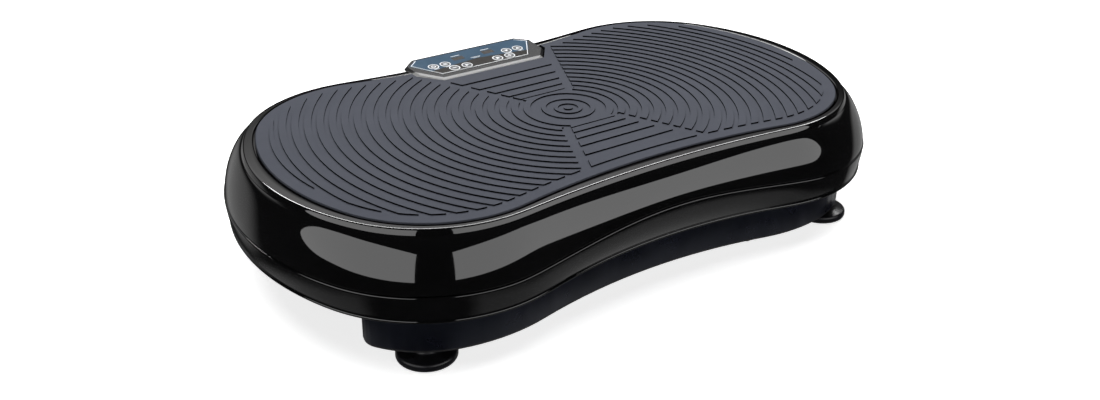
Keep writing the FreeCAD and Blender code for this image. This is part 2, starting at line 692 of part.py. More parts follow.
def pivot_side(name, side):
    """Lug, pin and bracket of one pivot, and its bushes; side is -1 near the user, 1 at the console."""
    lug_centre = d.rail_y * side
    lug = new_body("lug")
    sketch = new_sketch(lug, "XZ_Plane", -lug_centre)
    rail_low = d.recess_floor - 6 - d.rail_high
    rectangle(sketch, -d.lug_radius, d.lug_radius, d.pivot_height, rail_low)
    pad(lug, sketch, d.lug_thick, middle=True)
    pad(lug, circle(new_sketch(lug, "XZ_Plane", -lug_centre), 0, d.pivot_height, d.lug_radius),
        d.lug_thick, middle=True)
    pocket(lug, circle(new_sketch(lug, "XZ_Plane", -lug_centre), 0, d.pivot_height, d.pin_radius),
           d.lug_thick + 2, middle=True)
    node(lug, "hinge_lug_" + name)

    reach = d.lug_thick / 2 + d.bracket_gap + d.bracket_thick
    pin_low = lug_centre - reach - 3
    pin = cylinder(d.pin_radius, reach * 2 + 6, 0, pin_low, d.pivot_height, "y")
    node(pin, "pivot_pin_" + name)

    floor = d.base_bottom + d.plate_thick
    bracket = new_body("bracket")
    foot = new_sketch(bracket, "XZ_Plane", -lug_centre)
    rectangle(foot, -d.bracket_wide / 2, d.bracket_wide / 2, floor, floor + 4)
    pad(bracket, foot, reach * 2, middle=True)
    for cheek in (-1, 1):
        centre = lug_centre + (reach - d.bracket_thick / 2) * cheek
        web = new_sketch(bracket, "XZ_Plane", -centre)
        polygon(web, [(-d.bracket_wide / 2, floor + 3), (d.bracket_wide / 2, floor + 3),
                      (11, d.pivot_height), (-11, d.pivot_height)])
        pad(bracket, web, d.bracket_thick, middle=True)
        pad(bracket, circle(new_sketch(bracket, "XZ_Plane", -centre), 0, d.pivot_height, 11),
            d.bracket_thick, middle=True)
        pocket(bracket, circle(new_sketch(bracket, "XZ_Plane", -centre), 0, d.pivot_height,
                               d.pin_radius + d.press_gap + d.bush_wall), d.bracket_thick + 1, middle=True)
    for along in (-15, 15):
        pocket(bracket, circle(new_sketch(bracket, offset=floor + 10), along, lug_centre, 3.2), 20)
    node(bracket, "pivot_bracket_" + name)

    bushes = []
    for cheek in (-1, 1):
        low = lug_centre + (reach - d.bracket_thick / 2) * cheek - d.bracket_thick / 2 - 0.5
        bushes.append(tube(d.pin_radius + d.press_gap + d.bush_wall, d.pin_radius + d.press_gap,
                           d.bracket_thick + 1, 0, low, d.pivot_height, "y"))
    return bushes


# ---------------------------------------------------------------- base

def base_plate():
    """Flat steel floor of the base."""
    body = new_body("floor_sheet")
    pad(body, quarter_base(new_sketch(body, offset=d.base_bottom), 0.5), d.plate_thick)
    mirror_to_full(body)
    bolted = foot_places() + bracket_bolt_places() + cradle_bolt_places() + block_bolt_places()
    holes = [cylinder(3.2, 10, x, y, 10) for x, y in bolted]
    holes += [cylinder(1.8, 10, x, y, 10) for x, y in skirt_screw_places()]
    return node(cut(body, group(holes)), "base_plate")


def foot_places():
    return [(d.foot_x * sign_x, d.foot_y * sign_y) for sign_x in (-1, 1) for sign_y in (-1, 1)]


def skirt_screw_places():
    """Bosses on the skirt: two on each long side and one in each lobe."""
    places = []
    for sign_x in (-1, 1):
        for sign_y in (-1, 1):
            places.append((as_size(118 * sign_x), (d.base_bulge - 14.5) * sign_y))
            places.append((as_size(273 * sign_x), as_size(114 * sign_y)))
    return places


def base_skirt():
    """Plastic side wall of the base, open at the top."""
    body = new_body("skirt")
    low = d.base_bottom + d.plate_thick
    pad(body, quarter_base(new_sketch(body, offset=low), 0), d.skirt_top - low)
    pocket(body, quarter_base(new_sketch(body, offset=d.skirt_top), d.shell_wall), d.skirt_top - low + 1)
    mirror_to_full(body)
    bosses = [cylinder(5, 18, x, y, low) for x, y in skirt_screw_places()]
    pilots = [cylinder(1.3, 16, x, y, low - 1) for x, y in skirt_screw_places()]
    panel = box(-46, d.base_waist - d.shell_wall, 21, 84, d.shell_wall + PANEL_STEP, 33)
    inlet_hole = box(-41, d.base_waist - 12, 27, 28, 20, 21)
    switch_hole = box(6, d.base_waist - 12, 27, 22, 20, 20)
    return node(cut(fuse([body, panel] + bosses), group(pilots + [inlet_hole, switch_hole])), "base_skirt")


def suction_foot(label, x, y):
    """Rubber suction foot: a flared cup under a neck, bored for its bolt."""
    body = new_body("foot")
    sketch = new_sketch(body, "XZ_Plane")
    top = d.base_bottom
    radius = d.foot_radius
    polygon(sketch, [(3.2, d.foot_cup), (radius - 7, 2.6), (radius - 3, 0), (radius - 1, 0), (radius, 1),
                     (radius, d.foot_lip), (radius - 1, 6), (radius - 4, 8.5), (d.foot_neck + 3, 10.5),
                     (d.foot_neck, 11.5), (d.foot_neck, top), (3.2, top)])
    revolve(body, sketch)
    bind(body, "Placement.Base.x", x)
    bind(body, "Placement.Base.y", y)
    node(body, label)


def foot_bolts():
    """Bolts that run down through the plate into the feet."""
    heads_on = d.base_bottom + d.plate_thick
    return node(screws(foot_places(), heads_on, 5.5, 3.5, 3, 8, False), "foot_bolts")


def buffer_places():
    return [(as_size(222 * sign_x), d.rail_y * sign_y) for sign_x in (-1, 1) for sign_y in (-1, 1)]


def buffers():
    """Rubber stops on steel posts under the rail ends."""
    floor = d.base_bottom + d.plate_thick
    rail_low = d.recess_floor - 6 - d.rail_high
    post_high = rail_low - floor - 17
    posts = [tube(9, 5, post_high, x, y, floor) for x, y in buffer_places()]
    node(group(posts), "buffer_posts")
    stops = [fuse([cylinder(10, 9, x, y, floor + post_high), cylinder(6.5, 12, x, y, floor + post_high)])
             for x, y in buffer_places()]
    node(group(stops), "rubber_buffers")


# ---------------------------------------------------------------- drive

def motor():
    """Motor can, its front cap, bracket, shaft and pulley."""
    length = d.motor_front - d.motor_back
    can = fuse([cylinder(d.motor_radius, length - 12, d.motor_x, d.motor_back + 4, d.motor_height, "y"),
                cylinder(12, 5, d.motor_x, d.motor_back, d.motor_height, "y")])
    node(can, "motor_can")
    cap_low = d.motor_front - 8
    cap = fuse([cylinder(d.motor_radius, 8, d.motor_x, cap_low, d.motor_height, "y"),
                cylinder(11, 3, d.motor_x, d.motor_front, d.motor_height, "y")])
    bore = cylinder(4 + d.press_gap, 30, d.motor_x, cap_low - 1, d.motor_height, "y")
    node(cut(cap, bore), "motor_cap")
    shaft_start = cap_low + 0.5
    shaft = cylinder(4, d.belt_y + 12 - shaft_start, d.motor_x, shaft_start, d.motor_height, "y")
    node(shaft, "motor_shaft")
    floor = d.base_bottom + d.plate_thick
    outer = d.motor_radius + 3
    cradle = new_body("motor_cradle")
    sketch = new_sketch(cradle, "XZ_Plane")
    rectangle(sketch, d.motor_x - outer - 14, d.motor_x + outer + 14, floor, floor + 4)
    pad(cradle, sketch, 50, middle=True)
    block = new_sketch(cradle, "XZ_Plane")
    rectangle(block, d.motor_x - outer, d.motor_x + outer, floor + 3, d.motor_height - 8)
    pad(cradle, block, 50, middle=True)
    pocket(cradle, circle(new_sketch(cradle, "XZ_Plane"), d.motor_x, d.motor_height, d.motor_radius), 60,
           middle=True)
    for side in (-1, 1):
        for along in (-16, 16):
            spot = d.motor_x + (outer + 7) * side
            pocket(cradle, circle(new_sketch(cradle, offset=floor + 10), spot, along, 3.2), 20)
    node(cradle, "motor_cradle")
    pulley("motor_pulley", d.motor_x, d.motor_height, d.motor_pulley, 4)


def pulley(label, x, z, radius, bore):
    """Flat belt pulley with a flange on each side."""
    low = d.belt_y - d.pulley_wide / 2
    flange_radius = radius + d.flange
    parts = [cylinder(radius, d.pulley_wide, x, low, z, "y"),
             cylinder(flange_radius, d.flange_thick, x, low, z, "y"),
             cylinder(flange_radius, d.flange_thick, x, low + d.pulley_wide - d.flange_thick, z, "y")]
    hole = cylinder(bore, d.pulley_wide + 2, x, low - 1, z, "y")
    return node(cut(fuse(parts), hole), label)


def belt_outline(sketch, extra):
    """Outline of a band around both pulleys, standing off each by an extra radius."""
    small = (d.motor_pulley + extra).number
    large = (d.crank_pulley + extra).number
    motor = (d.motor_x.number, d.motor_height.number)
    crank = (d.crank_x.number, d.crank_height.number)
    span = math.hypot(crank[0] - motor[0], crank[1] - motor[1])
    heading = math.atan2(crank[1] - motor[1], crank[0] - motor[0])
    spread = math.acos((small - large) / span)
    upper, lower = heading + spread, heading - spread

    def point(centre, radius, angle):
        return centre[0] + radius * math.cos(angle), centre[1] + radius * math.sin(angle)
    left = add_arc(sketch, motor, small, upper, lower + 2 * math.pi)
    right = add_arc(sketch, crank, large, lower, upper)
    top = add_line(sketch, point(motor, small, upper), point(crank, large, upper))
    bottom = add_line(sketch, point(crank, large, lower), point(motor, small, lower))
    sketch.addConstraint(Sketcher.Constraint("Tangent", top, 1, left, 1))
    sketch.addConstraint(Sketcher.Constraint("Tangent", top, 2, right, 2))
    sketch.addConstraint(Sketcher.Constraint("Tangent", bottom, 1, right, 1))
    sketch.addConstraint(Sketcher.Constraint("Tangent", bottom, 2, left, 2))
    for curve, x, z, radius in ((left, d.motor_x, d.motor_height, d.motor_pulley + extra),
                                (right, d.crank_x, d.crank_height, d.crank_pulley + extra)):
        dimension(sketch, "DistanceX", (-1, 1, curve, 3), x)
        dimension(sketch, "DistanceY", (-1, 1, curve, 3), z)
        dimension(sketch, "Radius", (curve,), radius)
    return sketch


def drive_belt():
    """Endless flat belt from the motor pulley to the crank pulley."""
    body = new_body("belt")
    outer = d.belt_gap + d.belt_thick
    pad(body, belt_outline(new_sketch(body, "XZ_Plane", -d.belt_y), outer), d.belt_wide, middle=True)
    pocket(body, belt_outline(new_sketch(body, "XZ_Plane", -d.belt_y), d.belt_gap), d.belt_wide + 1, middle=True)
    return node(body, "drive_belt")


def crank():
    """Crank shaft with its eccentric, two bearings, two blocks and the large pulley."""
    back = -d.block_y - 10
    shaft = cylinder(d.shaft_radius, d.belt_y + 10 - back, d.crank_x, back, d.crank_height, "y")
    eccentric = cylinder(d.eccentric_radius, d.rod_thick + 4, d.crank_x + d.throw, (d.rod_thick + 4) / -2,
                         d.crank_height, "y")
    node(fuse([shaft, eccentric]), "crank_shaft")
    pulley("crank_pulley", d.crank_x, d.crank_height, d.crank_pulley, d.shaft_radius)
    floor = d.base_bottom + d.plate_thick
    bearings = []
    for name, side in (("front", -1), ("rear", 1)):
        centre = d.block_y * side
        body = new_body("block")
        foot = new_sketch(body, "XZ_Plane", -centre)
        rectangle(foot, d.crank_x - 34, d.crank_x + 34, floor, floor + 8)
        pad(body, foot, d.block_thick, middle=True)
        riser = new_sketch(body, "XZ_Plane", -centre)
        rectangle(riser, d.crank_x - 19, d.crank_x + 19, floor + 7, d.crank_height)
        pad(body, riser, d.block_thick, middle=True)
        pad(body, circle(new_sketch(body, "XZ_Plane", -centre), d.crank_x, d.crank_height, 19), d.block_thick,
            middle=True)
        pocket(body, circle(new_sketch(body, "XZ_Plane", -centre), d.crank_x, d.crank_height,
                            d.bearing_radius), d.block_thick + 2, middle=True)
        for along in (-27, 27):
            pocket(body, circle(new_sketch(body, offset=floor + 12), d.crank_x + along, centre, 3.2), 20)
        node(body, "bearing_block_" + name)
        bearings.append(tube(d.bearing_radius, d.shaft_radius + d.press_gap, d.bearing_wide, d.crank_x,
                             centre - d.bearing_wide / 2, d.crank_height, "y"))
    node(group(bearings), "crank_bearings")


def connecting_rod():
    """Rod from the eccentric up to the platform's pin, with its ball bearing."""
    body = new_body("rod")
    x = d.crank_x + d.throw
    waist = new_sketch(body, "XZ_Plane")
    polygon(waist, [(x - 13, d.crank_height), (x + 13, d.crank_height), (x + 8, d.rod_pin_height),
                    (x - 8, d.rod_pin_height)])
    pad(body, waist, d.rod_thick - 4, middle=True)
    pad(body, circle(new_sketch(body, "XZ_Plane"), x, d.crank_height, d.rod_big_radius), d.rod_thick, middle=True)
    pad(body, circle(new_sketch(body, "XZ_Plane"), x, d.rod_pin_height, d.rod_small_radius), d.rod_thick,
        middle=True)
    pocket(body, circle(new_sketch(body, "XZ_Plane"), x, d.crank_height, d.rod_bearing_radius),
           d.rod_thick + 2, middle=True)
    pocket(body, circle(new_sketch(body, "XZ_Plane"), x, d.rod_pin_height, d.rod_bore), d.rod_thick + 2,
           middle=True)
    node(body, "connecting_rod")
    bearing = tube(d.rod_bearing_radius, d.eccentric_radius + d.press_gap, d.rod_bearing_wide, x,
                   d.rod_bearing_wide / -2, d.crank_height, "y")
    node(bearing, "rod_bearing")


def rod_yoke():
    """Yoke under the deck and the pin that the rod drives."""
    deck_low = d.recess_floor - 6
    body = new_body("yoke")
    top = new_sketch(body, "XZ_Plane")
    rectangle(top, d.crank_x - 16, d.crank_x + 16, deck_low - 3, deck_low)
    pad(body, top, 32, middle=True)
    for side in (-1, 1):
        cheek = new_sketch(body, "XZ_Plane", 13 * side)
        rectangle(cheek, d.crank_x - 10, d.crank_x + 10, d.rod_pin_height, deck_low - 2)
        pad(body, cheek, 4, middle=True)
        pad(body, circle(new_sketch(body, "XZ_Plane", 13 * side), d.crank_x, d.rod_pin_height, 10), 4,
            middle=True)
        pocket(body, circle(new_sketch(body, "XZ_Plane", 13 * side), d.crank_x, d.rod_pin_height,
                            d.rod_pin_radius), 5, middle=True)
    node(body, "rod_yoke")
    node(cylinder(d.rod_pin_radius, 34, d.crank_x, -17, d.rod_pin_height, "y"), "rod_pin")


def bracket_bolt_places():
    return [(as_size(along), d.rail_y * side) for along in (-15, 15) for side in (-1, 1)]


def cradle_bolt_places():
    outer = d.motor_radius + 10
    return [(d.motor_x + outer * side, as_size(along)) for side in (-1, 1) for along in (-16, 16)]


def block_bolt_places():
    return [(d.crank_x + along, d.block_y * side) for along in (-27, 27) for side in (-1, 1)]


def frame_bolts():
    """Bolts that hold the brackets, motor cradle and bearing blocks to the base plate."""
    floor = d.base_bottom + d.plate_thick
    low_feet = screws(bracket_bolt_places() + cradle_bolt_places(), floor + 4, 5, 3, 3, 4 + d.plate_thick, False)
    high_feet = screws(block_bolt_places(), floor + 8, 5, 3, 3, 8 + d.plate_thick, False)
    return node(group([low_feet, high_feet]), "frame_bolts")


# ---------------------------------------------------------------- electrics

def control_board():
    """Driver board on four pillars with its large components."""
    floor = d.base_bottom + d.plate_thick
    corners = [(d.board_x + along, d.board_y + side) for along in (5, 69) for side in (5, 85)]
    node(group([cylinder(3, d.pillar_high, x, y, floor) for x, y in corners]), "board_pillars")
    board_thick = 1.6
    seat = floor + d.pillar_high
    node(box(d.board_x, d.board_y, seat, d.board_long, d.board_wide, board_thick), "control_board")
    top = seat + board_thick
    left = d.board_x + 9
    transformer = box(left, d.board_y + 10, top, 32, 30, 22)
    capacitors = [cylinder(7, 20, d.board_x + 58, d.board_y + along, top) for along in (18, 36, 54)]
    sink = box(left, d.board_y + 50, top, 38, 24, 4)
    fins = [box(left, d.board_y + 50 + 5.5 * turn, top + 4, 38, 2, 14) for turn in range(5)]
    node(group([transformer, fuse([sink] + fins)] + capacitors), "board_components")


def power_inlet():
    """Mains inlet in the rear wall, with two pins in its socket."""
    face = d.base_waist + PANEL_STEP
    flange = box(-44, face, 24, 34, 2, 27)
    barrel = box(-40.7, face - 22, 27.3, 27.4, 22, 20.4)
    socket = box(-37.5, face - 14, 31, 21, 30, 13)
    pins = [cylinder(1.3, 10, -27 + offset, face - 15, 37.5, "y") for offset in (-5, 5)]
    node(fuse([cut(fuse([flange, barrel]), socket)] + pins), "power_inlet")


def power_switch():
    """Rocker switch beside the inlet: a frame and the rocker that tilts on trunnions in it."""
    face = d.base_waist + PANEL_STEP
    pivot = (d.switch_x, face - d.rocker_set_back, d.switch_high)
    left = d.switch_x - 14
    flange = box(left, face, d.switch_high - 12.5, 28, 2, 25)
    barrel = box(left + 3.3, face - 20, d.switch_high - 9.7, 21.4, 20, 19.4)
    well = box(left + 5.5, face - 12, d.switch_high - 8.2, 17, 30, 16.4)
    seat = place(trunnion(d.trunnion_radius + 0.05, 19.6), *pivot)
    node(cut(fuse([flange, barrel]), group([well, seat])), "switch_frame")
    body = new_body("rocker")
    profile = [(-3, -4), (5.2, -6.4), (8.2, -6.4), (6.2, 0), (8.2, 6.4), (5.2, 6.4), (-3, 4)]
    pad(body, polygon(new_sketch(body, "YZ_Plane"), profile), 16.2, middle=True)
    rocker = place(fuse([body, trunnion(d.trunnion_radius, 19)]), *pivot, (1, 0, 0), d.rocker_tilt.number)
    bind(rocker, "Placement.Rotation.Angle", d.rocker_tilt)
    node(rocker, "power_rocker")


def trunnion(radius, length):
    """A short bar along X through the rocker's pivot."""
    body = new_body("trunnion")
    pad(body, circle(new_sketch(body, "YZ_Plane"), 0, 0, radius), length, middle=True)
    return body


# ---------------------------------------------------------------- console

# Places on the console's own plane, across and back from its front edge.
KEY_PLACES = ((-53.5, 37.5), (-39, 37.5), (-35, 24.5), (-19.5, 24.5),
              (19.5, 24.5), (35, 24.5), (39, 37.5), (53.5, 37.5))
KEY_NAMES = ("power", "mode", "slower", "start", "stop", "faster", "time_down", "time_up")
DISPLAY_PLACES = (-18.8, 18.8)
DISPLAY_MIDDLE = 44.5
# The console board's upper face lies this far under the console plane.
BOARD_TOP = -6.2


def console_housing():
    """Housing with a bed for the film, windows, holes for the keys and posts for the board."""
    outer = console_block("housing_outer", 0, 0, d.console_bevel)
    hollow = console_block("housing_hollow", d.console_wall, -d.console_wall, d.console_wall)
    film_bed = new_body("film_bed")
    pad(film_bed, polygon(new_sketch(film_bed, offset=-d.film_step), film_corners(-d.film_gap)), 5)
    tilt_console(film_bed)
    openings = [cylinder(2.6, 6, x, y, -5) for x, y in KEY_PLACES]
    openings += [box(x - 7.5, DISPLAY_MIDDLE - 4.5, -5, 15, 9, 6) for x in DISPLAY_PLACES]
    holes = tilt_console(group(openings))
    posts = [cylinder(3, -BOARD_TOP - 2.3, 62 * side, y, BOARD_TOP) for side in (-1, 1) for y in (17, 45)]
    shell = cut(outer, group([hollow, film_bed, holes]))
    node(fuse([shell, tilt_console(group(posts))]), "console_housing")


def console_film():
    """Printed film that lies in the housing's bed."""
    film = new_body("film")
    pad(film, polygon(new_sketch(film, offset=-d.film_step), film_corners()), d.film_thick)
    node(tilt_console(film), "console_film")


def console_electronics():
    """Board, two display modules, eight switches and the keys that the film presses."""
    board = new_body("key_board")
    pad(board, rectangle(new_sketch(board, offset=BOARD_TOP - 1.6), -66, 66, 12, 52), 1.6)
    node(tilt_console(board), "console_board")
    modules = group([box(x - 7, DISPLAY_MIDDLE - 4, BOARD_TOP, 14, 8, 5.2) for x in DISPLAY_PLACES])
    node(tilt_console(modules), "display_modules")
    cases = []
    for x, y in KEY_PLACES:
        case = box(x - 3, y - 3, BOARD_TOP, 6, 6, 3.4)
        well = cylinder(d.key_radius + 0.05, 4, x, y, -4.1)
        cases.append(cut(case, well))
    node(tilt_console(group(cases)), "key_switches")
    for name, (x, y) in zip(KEY_NAMES, KEY_PLACES):
        stem = cylinder(d.key_radius, 2.6, x, y, -3.6)
        node(tilt_console(group([stem])), "key_" + name)


# ---------------------------------------------------------------- assembly

def build():
    foot_mat()
    top_shell()
    lower_shell()
    deck_plate()
    deck_rail("deck_rail_front", -1)
    deck_rail("deck_rail_rear", 1)
    node(screws(deck_bolt_places(), d.recess_floor - 3, 5, 2.4, 3, 8, False), "deck_bolts")
    node(screws(boss_places(), d.hem_height, 3.5, 2.4, 1.3, 14, True), "shell_screws")
    bushes = pivot_side("front", -1) + pivot_side("rear", 1)
    node(group(bushes), "pivot_bushes")
    base_plate()
    base_skirt()
    for (x, y), name in zip(foot_places(), ("front_left", "rear_left", "front_right", "rear_right")):
        suction_foot("foot_" + name, x, y)
    foot_bolts()
    node(screws(skirt_screw_places(), d.base_bottom, 3.5, 2, 1.3, 14, True), "skirt_screws")
    buffers()
    motor()
    drive_belt()
    crank()
    connecting_rod()
    rod_yoke()
    frame_bolts()
    control_board()
    power_inlet()
    power_switch()
    console_housing()
    console_film()
    console_electronics()


def export():
    """Check every object and write one STEP file for each sub-part."""
    DOC.recompute()
    broken = [item.Name for item in DOC.Objects if {"Invalid", "Error"} & set(item.State)]
    if broken:
        raise RuntimeError("objects in error: " + ", ".join(broken))
    os.makedirs("parts", exist_ok=True)
    for item in PARTS:
        shape = item.Shape
        if shape.isNull() or not shape.isValid() or not shape.Solids:
            raise RuntimeError(item.Label + ": no valid solid")
        shape.exportStep(os.path.join("parts", item.Label + ".step"))
        print("%-24s %3d solids  %10.0f mm3" % (item.Label, len(shape.Solids), shape.Volume))


build()
export()
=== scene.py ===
"""Looks of the vibration plate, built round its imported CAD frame. Metres, +Z up, +Y towards the console."""
import json
import math

import bmesh
import bpy
import numpy as np
from mathutils import Matrix, Vector

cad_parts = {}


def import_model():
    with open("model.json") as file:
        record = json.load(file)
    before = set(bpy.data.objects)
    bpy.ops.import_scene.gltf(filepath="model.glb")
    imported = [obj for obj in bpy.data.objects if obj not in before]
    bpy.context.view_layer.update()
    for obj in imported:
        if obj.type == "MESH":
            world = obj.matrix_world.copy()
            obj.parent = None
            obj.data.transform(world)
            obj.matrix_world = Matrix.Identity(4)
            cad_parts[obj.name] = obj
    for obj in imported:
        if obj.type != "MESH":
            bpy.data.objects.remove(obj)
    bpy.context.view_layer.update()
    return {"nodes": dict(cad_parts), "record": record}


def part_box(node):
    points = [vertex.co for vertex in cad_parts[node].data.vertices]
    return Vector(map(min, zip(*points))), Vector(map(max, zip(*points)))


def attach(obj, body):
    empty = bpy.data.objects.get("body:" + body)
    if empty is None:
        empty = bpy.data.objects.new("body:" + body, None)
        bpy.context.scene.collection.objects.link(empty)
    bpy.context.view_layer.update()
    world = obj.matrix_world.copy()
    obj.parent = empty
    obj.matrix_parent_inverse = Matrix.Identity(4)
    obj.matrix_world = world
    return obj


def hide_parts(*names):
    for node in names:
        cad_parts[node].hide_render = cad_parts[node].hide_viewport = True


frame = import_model()
NODES = frame["nodes"]
MM = 0.001
ROUND_STEPS = 640
EASE_ANGLE = math.radians(1.6)


# ---------------------------------------------------------------- outlines

class Oval:
    """A waisted oval, in millimetres.

    Its sizes are half its length, half its width at the waist and at the bulge, how far the bulge is
    from the middle, and the radius of its corners.
    """

    def __init__(self, length, waist, bulge, bulge_at, corner):
        self.sizes = (length, waist, bulge, bulge_at, corner)

    def mix(self, other, share):
        """The outline a given share of the way to another one."""
        pairs = zip(self.sizes, other.sizes)
        return Oval(*[here * (1 - share) + there * share for here, there in pairs])

    def inset(self, amount):
        """The outline drawn in by an even amount."""
        length, waist, bulge, bulge_at, corner = self.sizes
        return Oval(length - amount, waist - amount, bulge - amount, bulge_at, corner - amount)

    def radius(self, angles):
        """Distance from the centre at each polar angle."""
        length, waist, bulge, bulge_at, corner = self.sizes
        reach = length - bulge_at
        rise = bulge - corner
        end = (corner ** 2 - rise ** 2 - reach ** 2) / (2 * (corner - reach))
        dip = bulge - waist
        hollow = (bulge_at ** 2 + dip ** 2) / (2 * dip) - corner
        return smooth_radius(angles, (length - end, 0, end), (bulge_at, rise, corner),
                             (0, waist + hollow, hollow))


def smooth_radius(angles, end, corner, hollow):
    """Polar radius of an end arc, a corner arc and a hollow arc, eased where they meet."""
    across = np.abs(np.cos(angles))
    up = np.abs(np.sin(angles))
    first = meeting_angle(end, corner, 1)
    second = meeting_angle(hollow, corner, 1)
    polar = np.arctan2(up, across)
    radii = np.where(polar < first, along_ray(end, across, up, 1),
                     np.where(polar < second, along_ray(corner, across, up, 1),
                              along_ray(hollow, across, up, -1)))
    waves = np.fft.rfft(radii)
    ease = np.exp(-0.5 * (np.arange(len(waves)) * EASE_ANGLE) ** 2)
    return np.fft.irfft(waves * ease, len(radii))


def meeting_angle(arc, corner, side):
    """Polar angle of the point where an arc touches the corner arc."""
    toward = np.array(corner[:2], float) - np.array(arc[:2], float)
    point = np.array(arc[:2], float) + toward / np.linalg.norm(toward) * arc[2] * side
    return math.atan2(point[1], point[0])


def along_ray(arc, across, up, side):
    """Where rays from the centre cross a circle, on its far (1) or near (-1) side."""
    centre_x, centre_y, radius = arc
    middle = centre_x * across + centre_y * up
    under = middle ** 2 - centre_x ** 2 - centre_y ** 2 + radius ** 2
    return middle + side * np.sqrt(np.maximum(under, 0))


ANGLES = np.linspace(0, 2 * math.pi, ROUND_STEPS, endpoint=False)

MAT = Oval(300.5, 148.0, 165.6, 172.0, 118.0)
RIM = Oval(314.0, 161.0, 173.3, 172.0, 130.0)
SEAM = Oval(333.5, 182.0, 196.0, 180.0, 141.0)
HEM = Oval(330.5, 169.0, 194.0, 180.0, 139.0)
MOUTH = Oval(314.0, 159.0, 181.0, 180.0, 130.0)


def ring(outline, height):
    """One closed ring of points, in metres, from an outline and a height in millimetres."""
    radii = outline.radius(ANGLES)
    flat = np.column_stack([radii * np.cos(ANGLES), radii * np.sin(ANGLES)])
    return np.column_stack([flat, np.zeros(len(ANGLES)) + height]) * MM


# ---------------------------------------------------------------- mesh helpers

SHARP_ANGLE = math.radians(40)
LATHE_STEPS = 96
CIRCLE_STEPS = 40


def loft(name, rings):
    """A closed mesh through rings of points, with the last ring joined to the first."""
    count = len(rings[0])
    points = np.concatenate(rings)
    faces = []
    for level in range(len(rings)):
        low = level * count
        high = (level + 1) % len(rings) * count
        for step in range(count):
            after = (step + 1) % count
            faces.append((low + step, low + after, high + after, high + step))
    mesh = bpy.data.meshes.new(name)
    mesh.from_pydata(points.tolist(), [], faces)
    return tidy_mesh(mesh)


def tidy_mesh(mesh):
    """Outward normals, smooth faces and sharp edges above an angle."""
    work = bmesh.new()
    work.from_mesh(mesh)
    bmesh.ops.recalc_face_normals(work, faces=work.faces)
    work.to_mesh(mesh)
    work.free()
    mesh.shade_smooth()
    mesh.set_sharp_from_angle(angle=SHARP_ANGLE)
    return mesh


def add_object(name, data):
    """A new object in the scene."""
    item = bpy.data.objects.new(name, data)
    bpy.context.scene.collection.objects.link(item)
    return item


def piece(name, mesh, body, material, replaced=()):
    """A finished piece: linked, painted, riding on its body and standing for CAD nodes."""
    mesh.materials.append(material)
    item = add_object(name, mesh)
    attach(item, body)
    if replaced:
        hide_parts(*replaced)


def lathe(profile, centre_x, centre_y):
    """Rings of a turned shape from (radius, height) points in millimetres."""
    turns = np.linspace(0, 2 * math.pi, LATHE_STEPS, endpoint=False)
    rings = []
    for radius, height in profile:
        across = centre_x + radius * np.cos(turns)
        back = centre_y + radius * np.sin(turns)
        rings.append(np.column_stack([across, back, np.full(LATHE_STEPS, height)]) * MM)
    return rings


def round_corner(centre, radius, start, end, steps):
    """Points of an arc in a profile, between two angles in degrees."""
    return [(centre[0] + radius * math.cos(turn), centre[1] + radius * math.sin(turn))
            for turn in np.radians(np.linspace(start, end, steps))]


# ---------------------------------------------------------------- materials

SMOOTHEST = 0.02
NOISE_ROUGHNESS = 0.55
# Painted shade: the near-black colour painted on the mat's steep groove walls, and the normal heights over
# which it fades in.
GROOVE_WALL_SHADE = (0.004, 0.004, 0.005)
WALL_SHADE_TILTS = (0.45, 0.93)
# Painted highlight: the silver painted along the console housing's front edges stands in for their bevel's
# reflection; its width, fade and edge lines follow.
PAINTED_BEVEL_HIGHLIGHT = (0.3, 0.3, 0.3)
BEVEL_HIGHLIGHT_WIDE = 8.0
BEVEL_HIGHLIGHT_FADE = 0.5
BEVEL_HIGHLIGHT_EDGES = ((0.0, 1.0, 118.0), (0.8, 0.6, 21.2))
FILM_BLUE = (0.025, 0.056, 0.092)
FILM_LIGHT_BLUE = (0.036, 0.072, 0.115)
BAND_BROWN = (0.026, 0.024, 0.022)
BAND_SLOPE = 0.12
BAND_EDGE = 0.1535
BAND_FADE = 0.0002


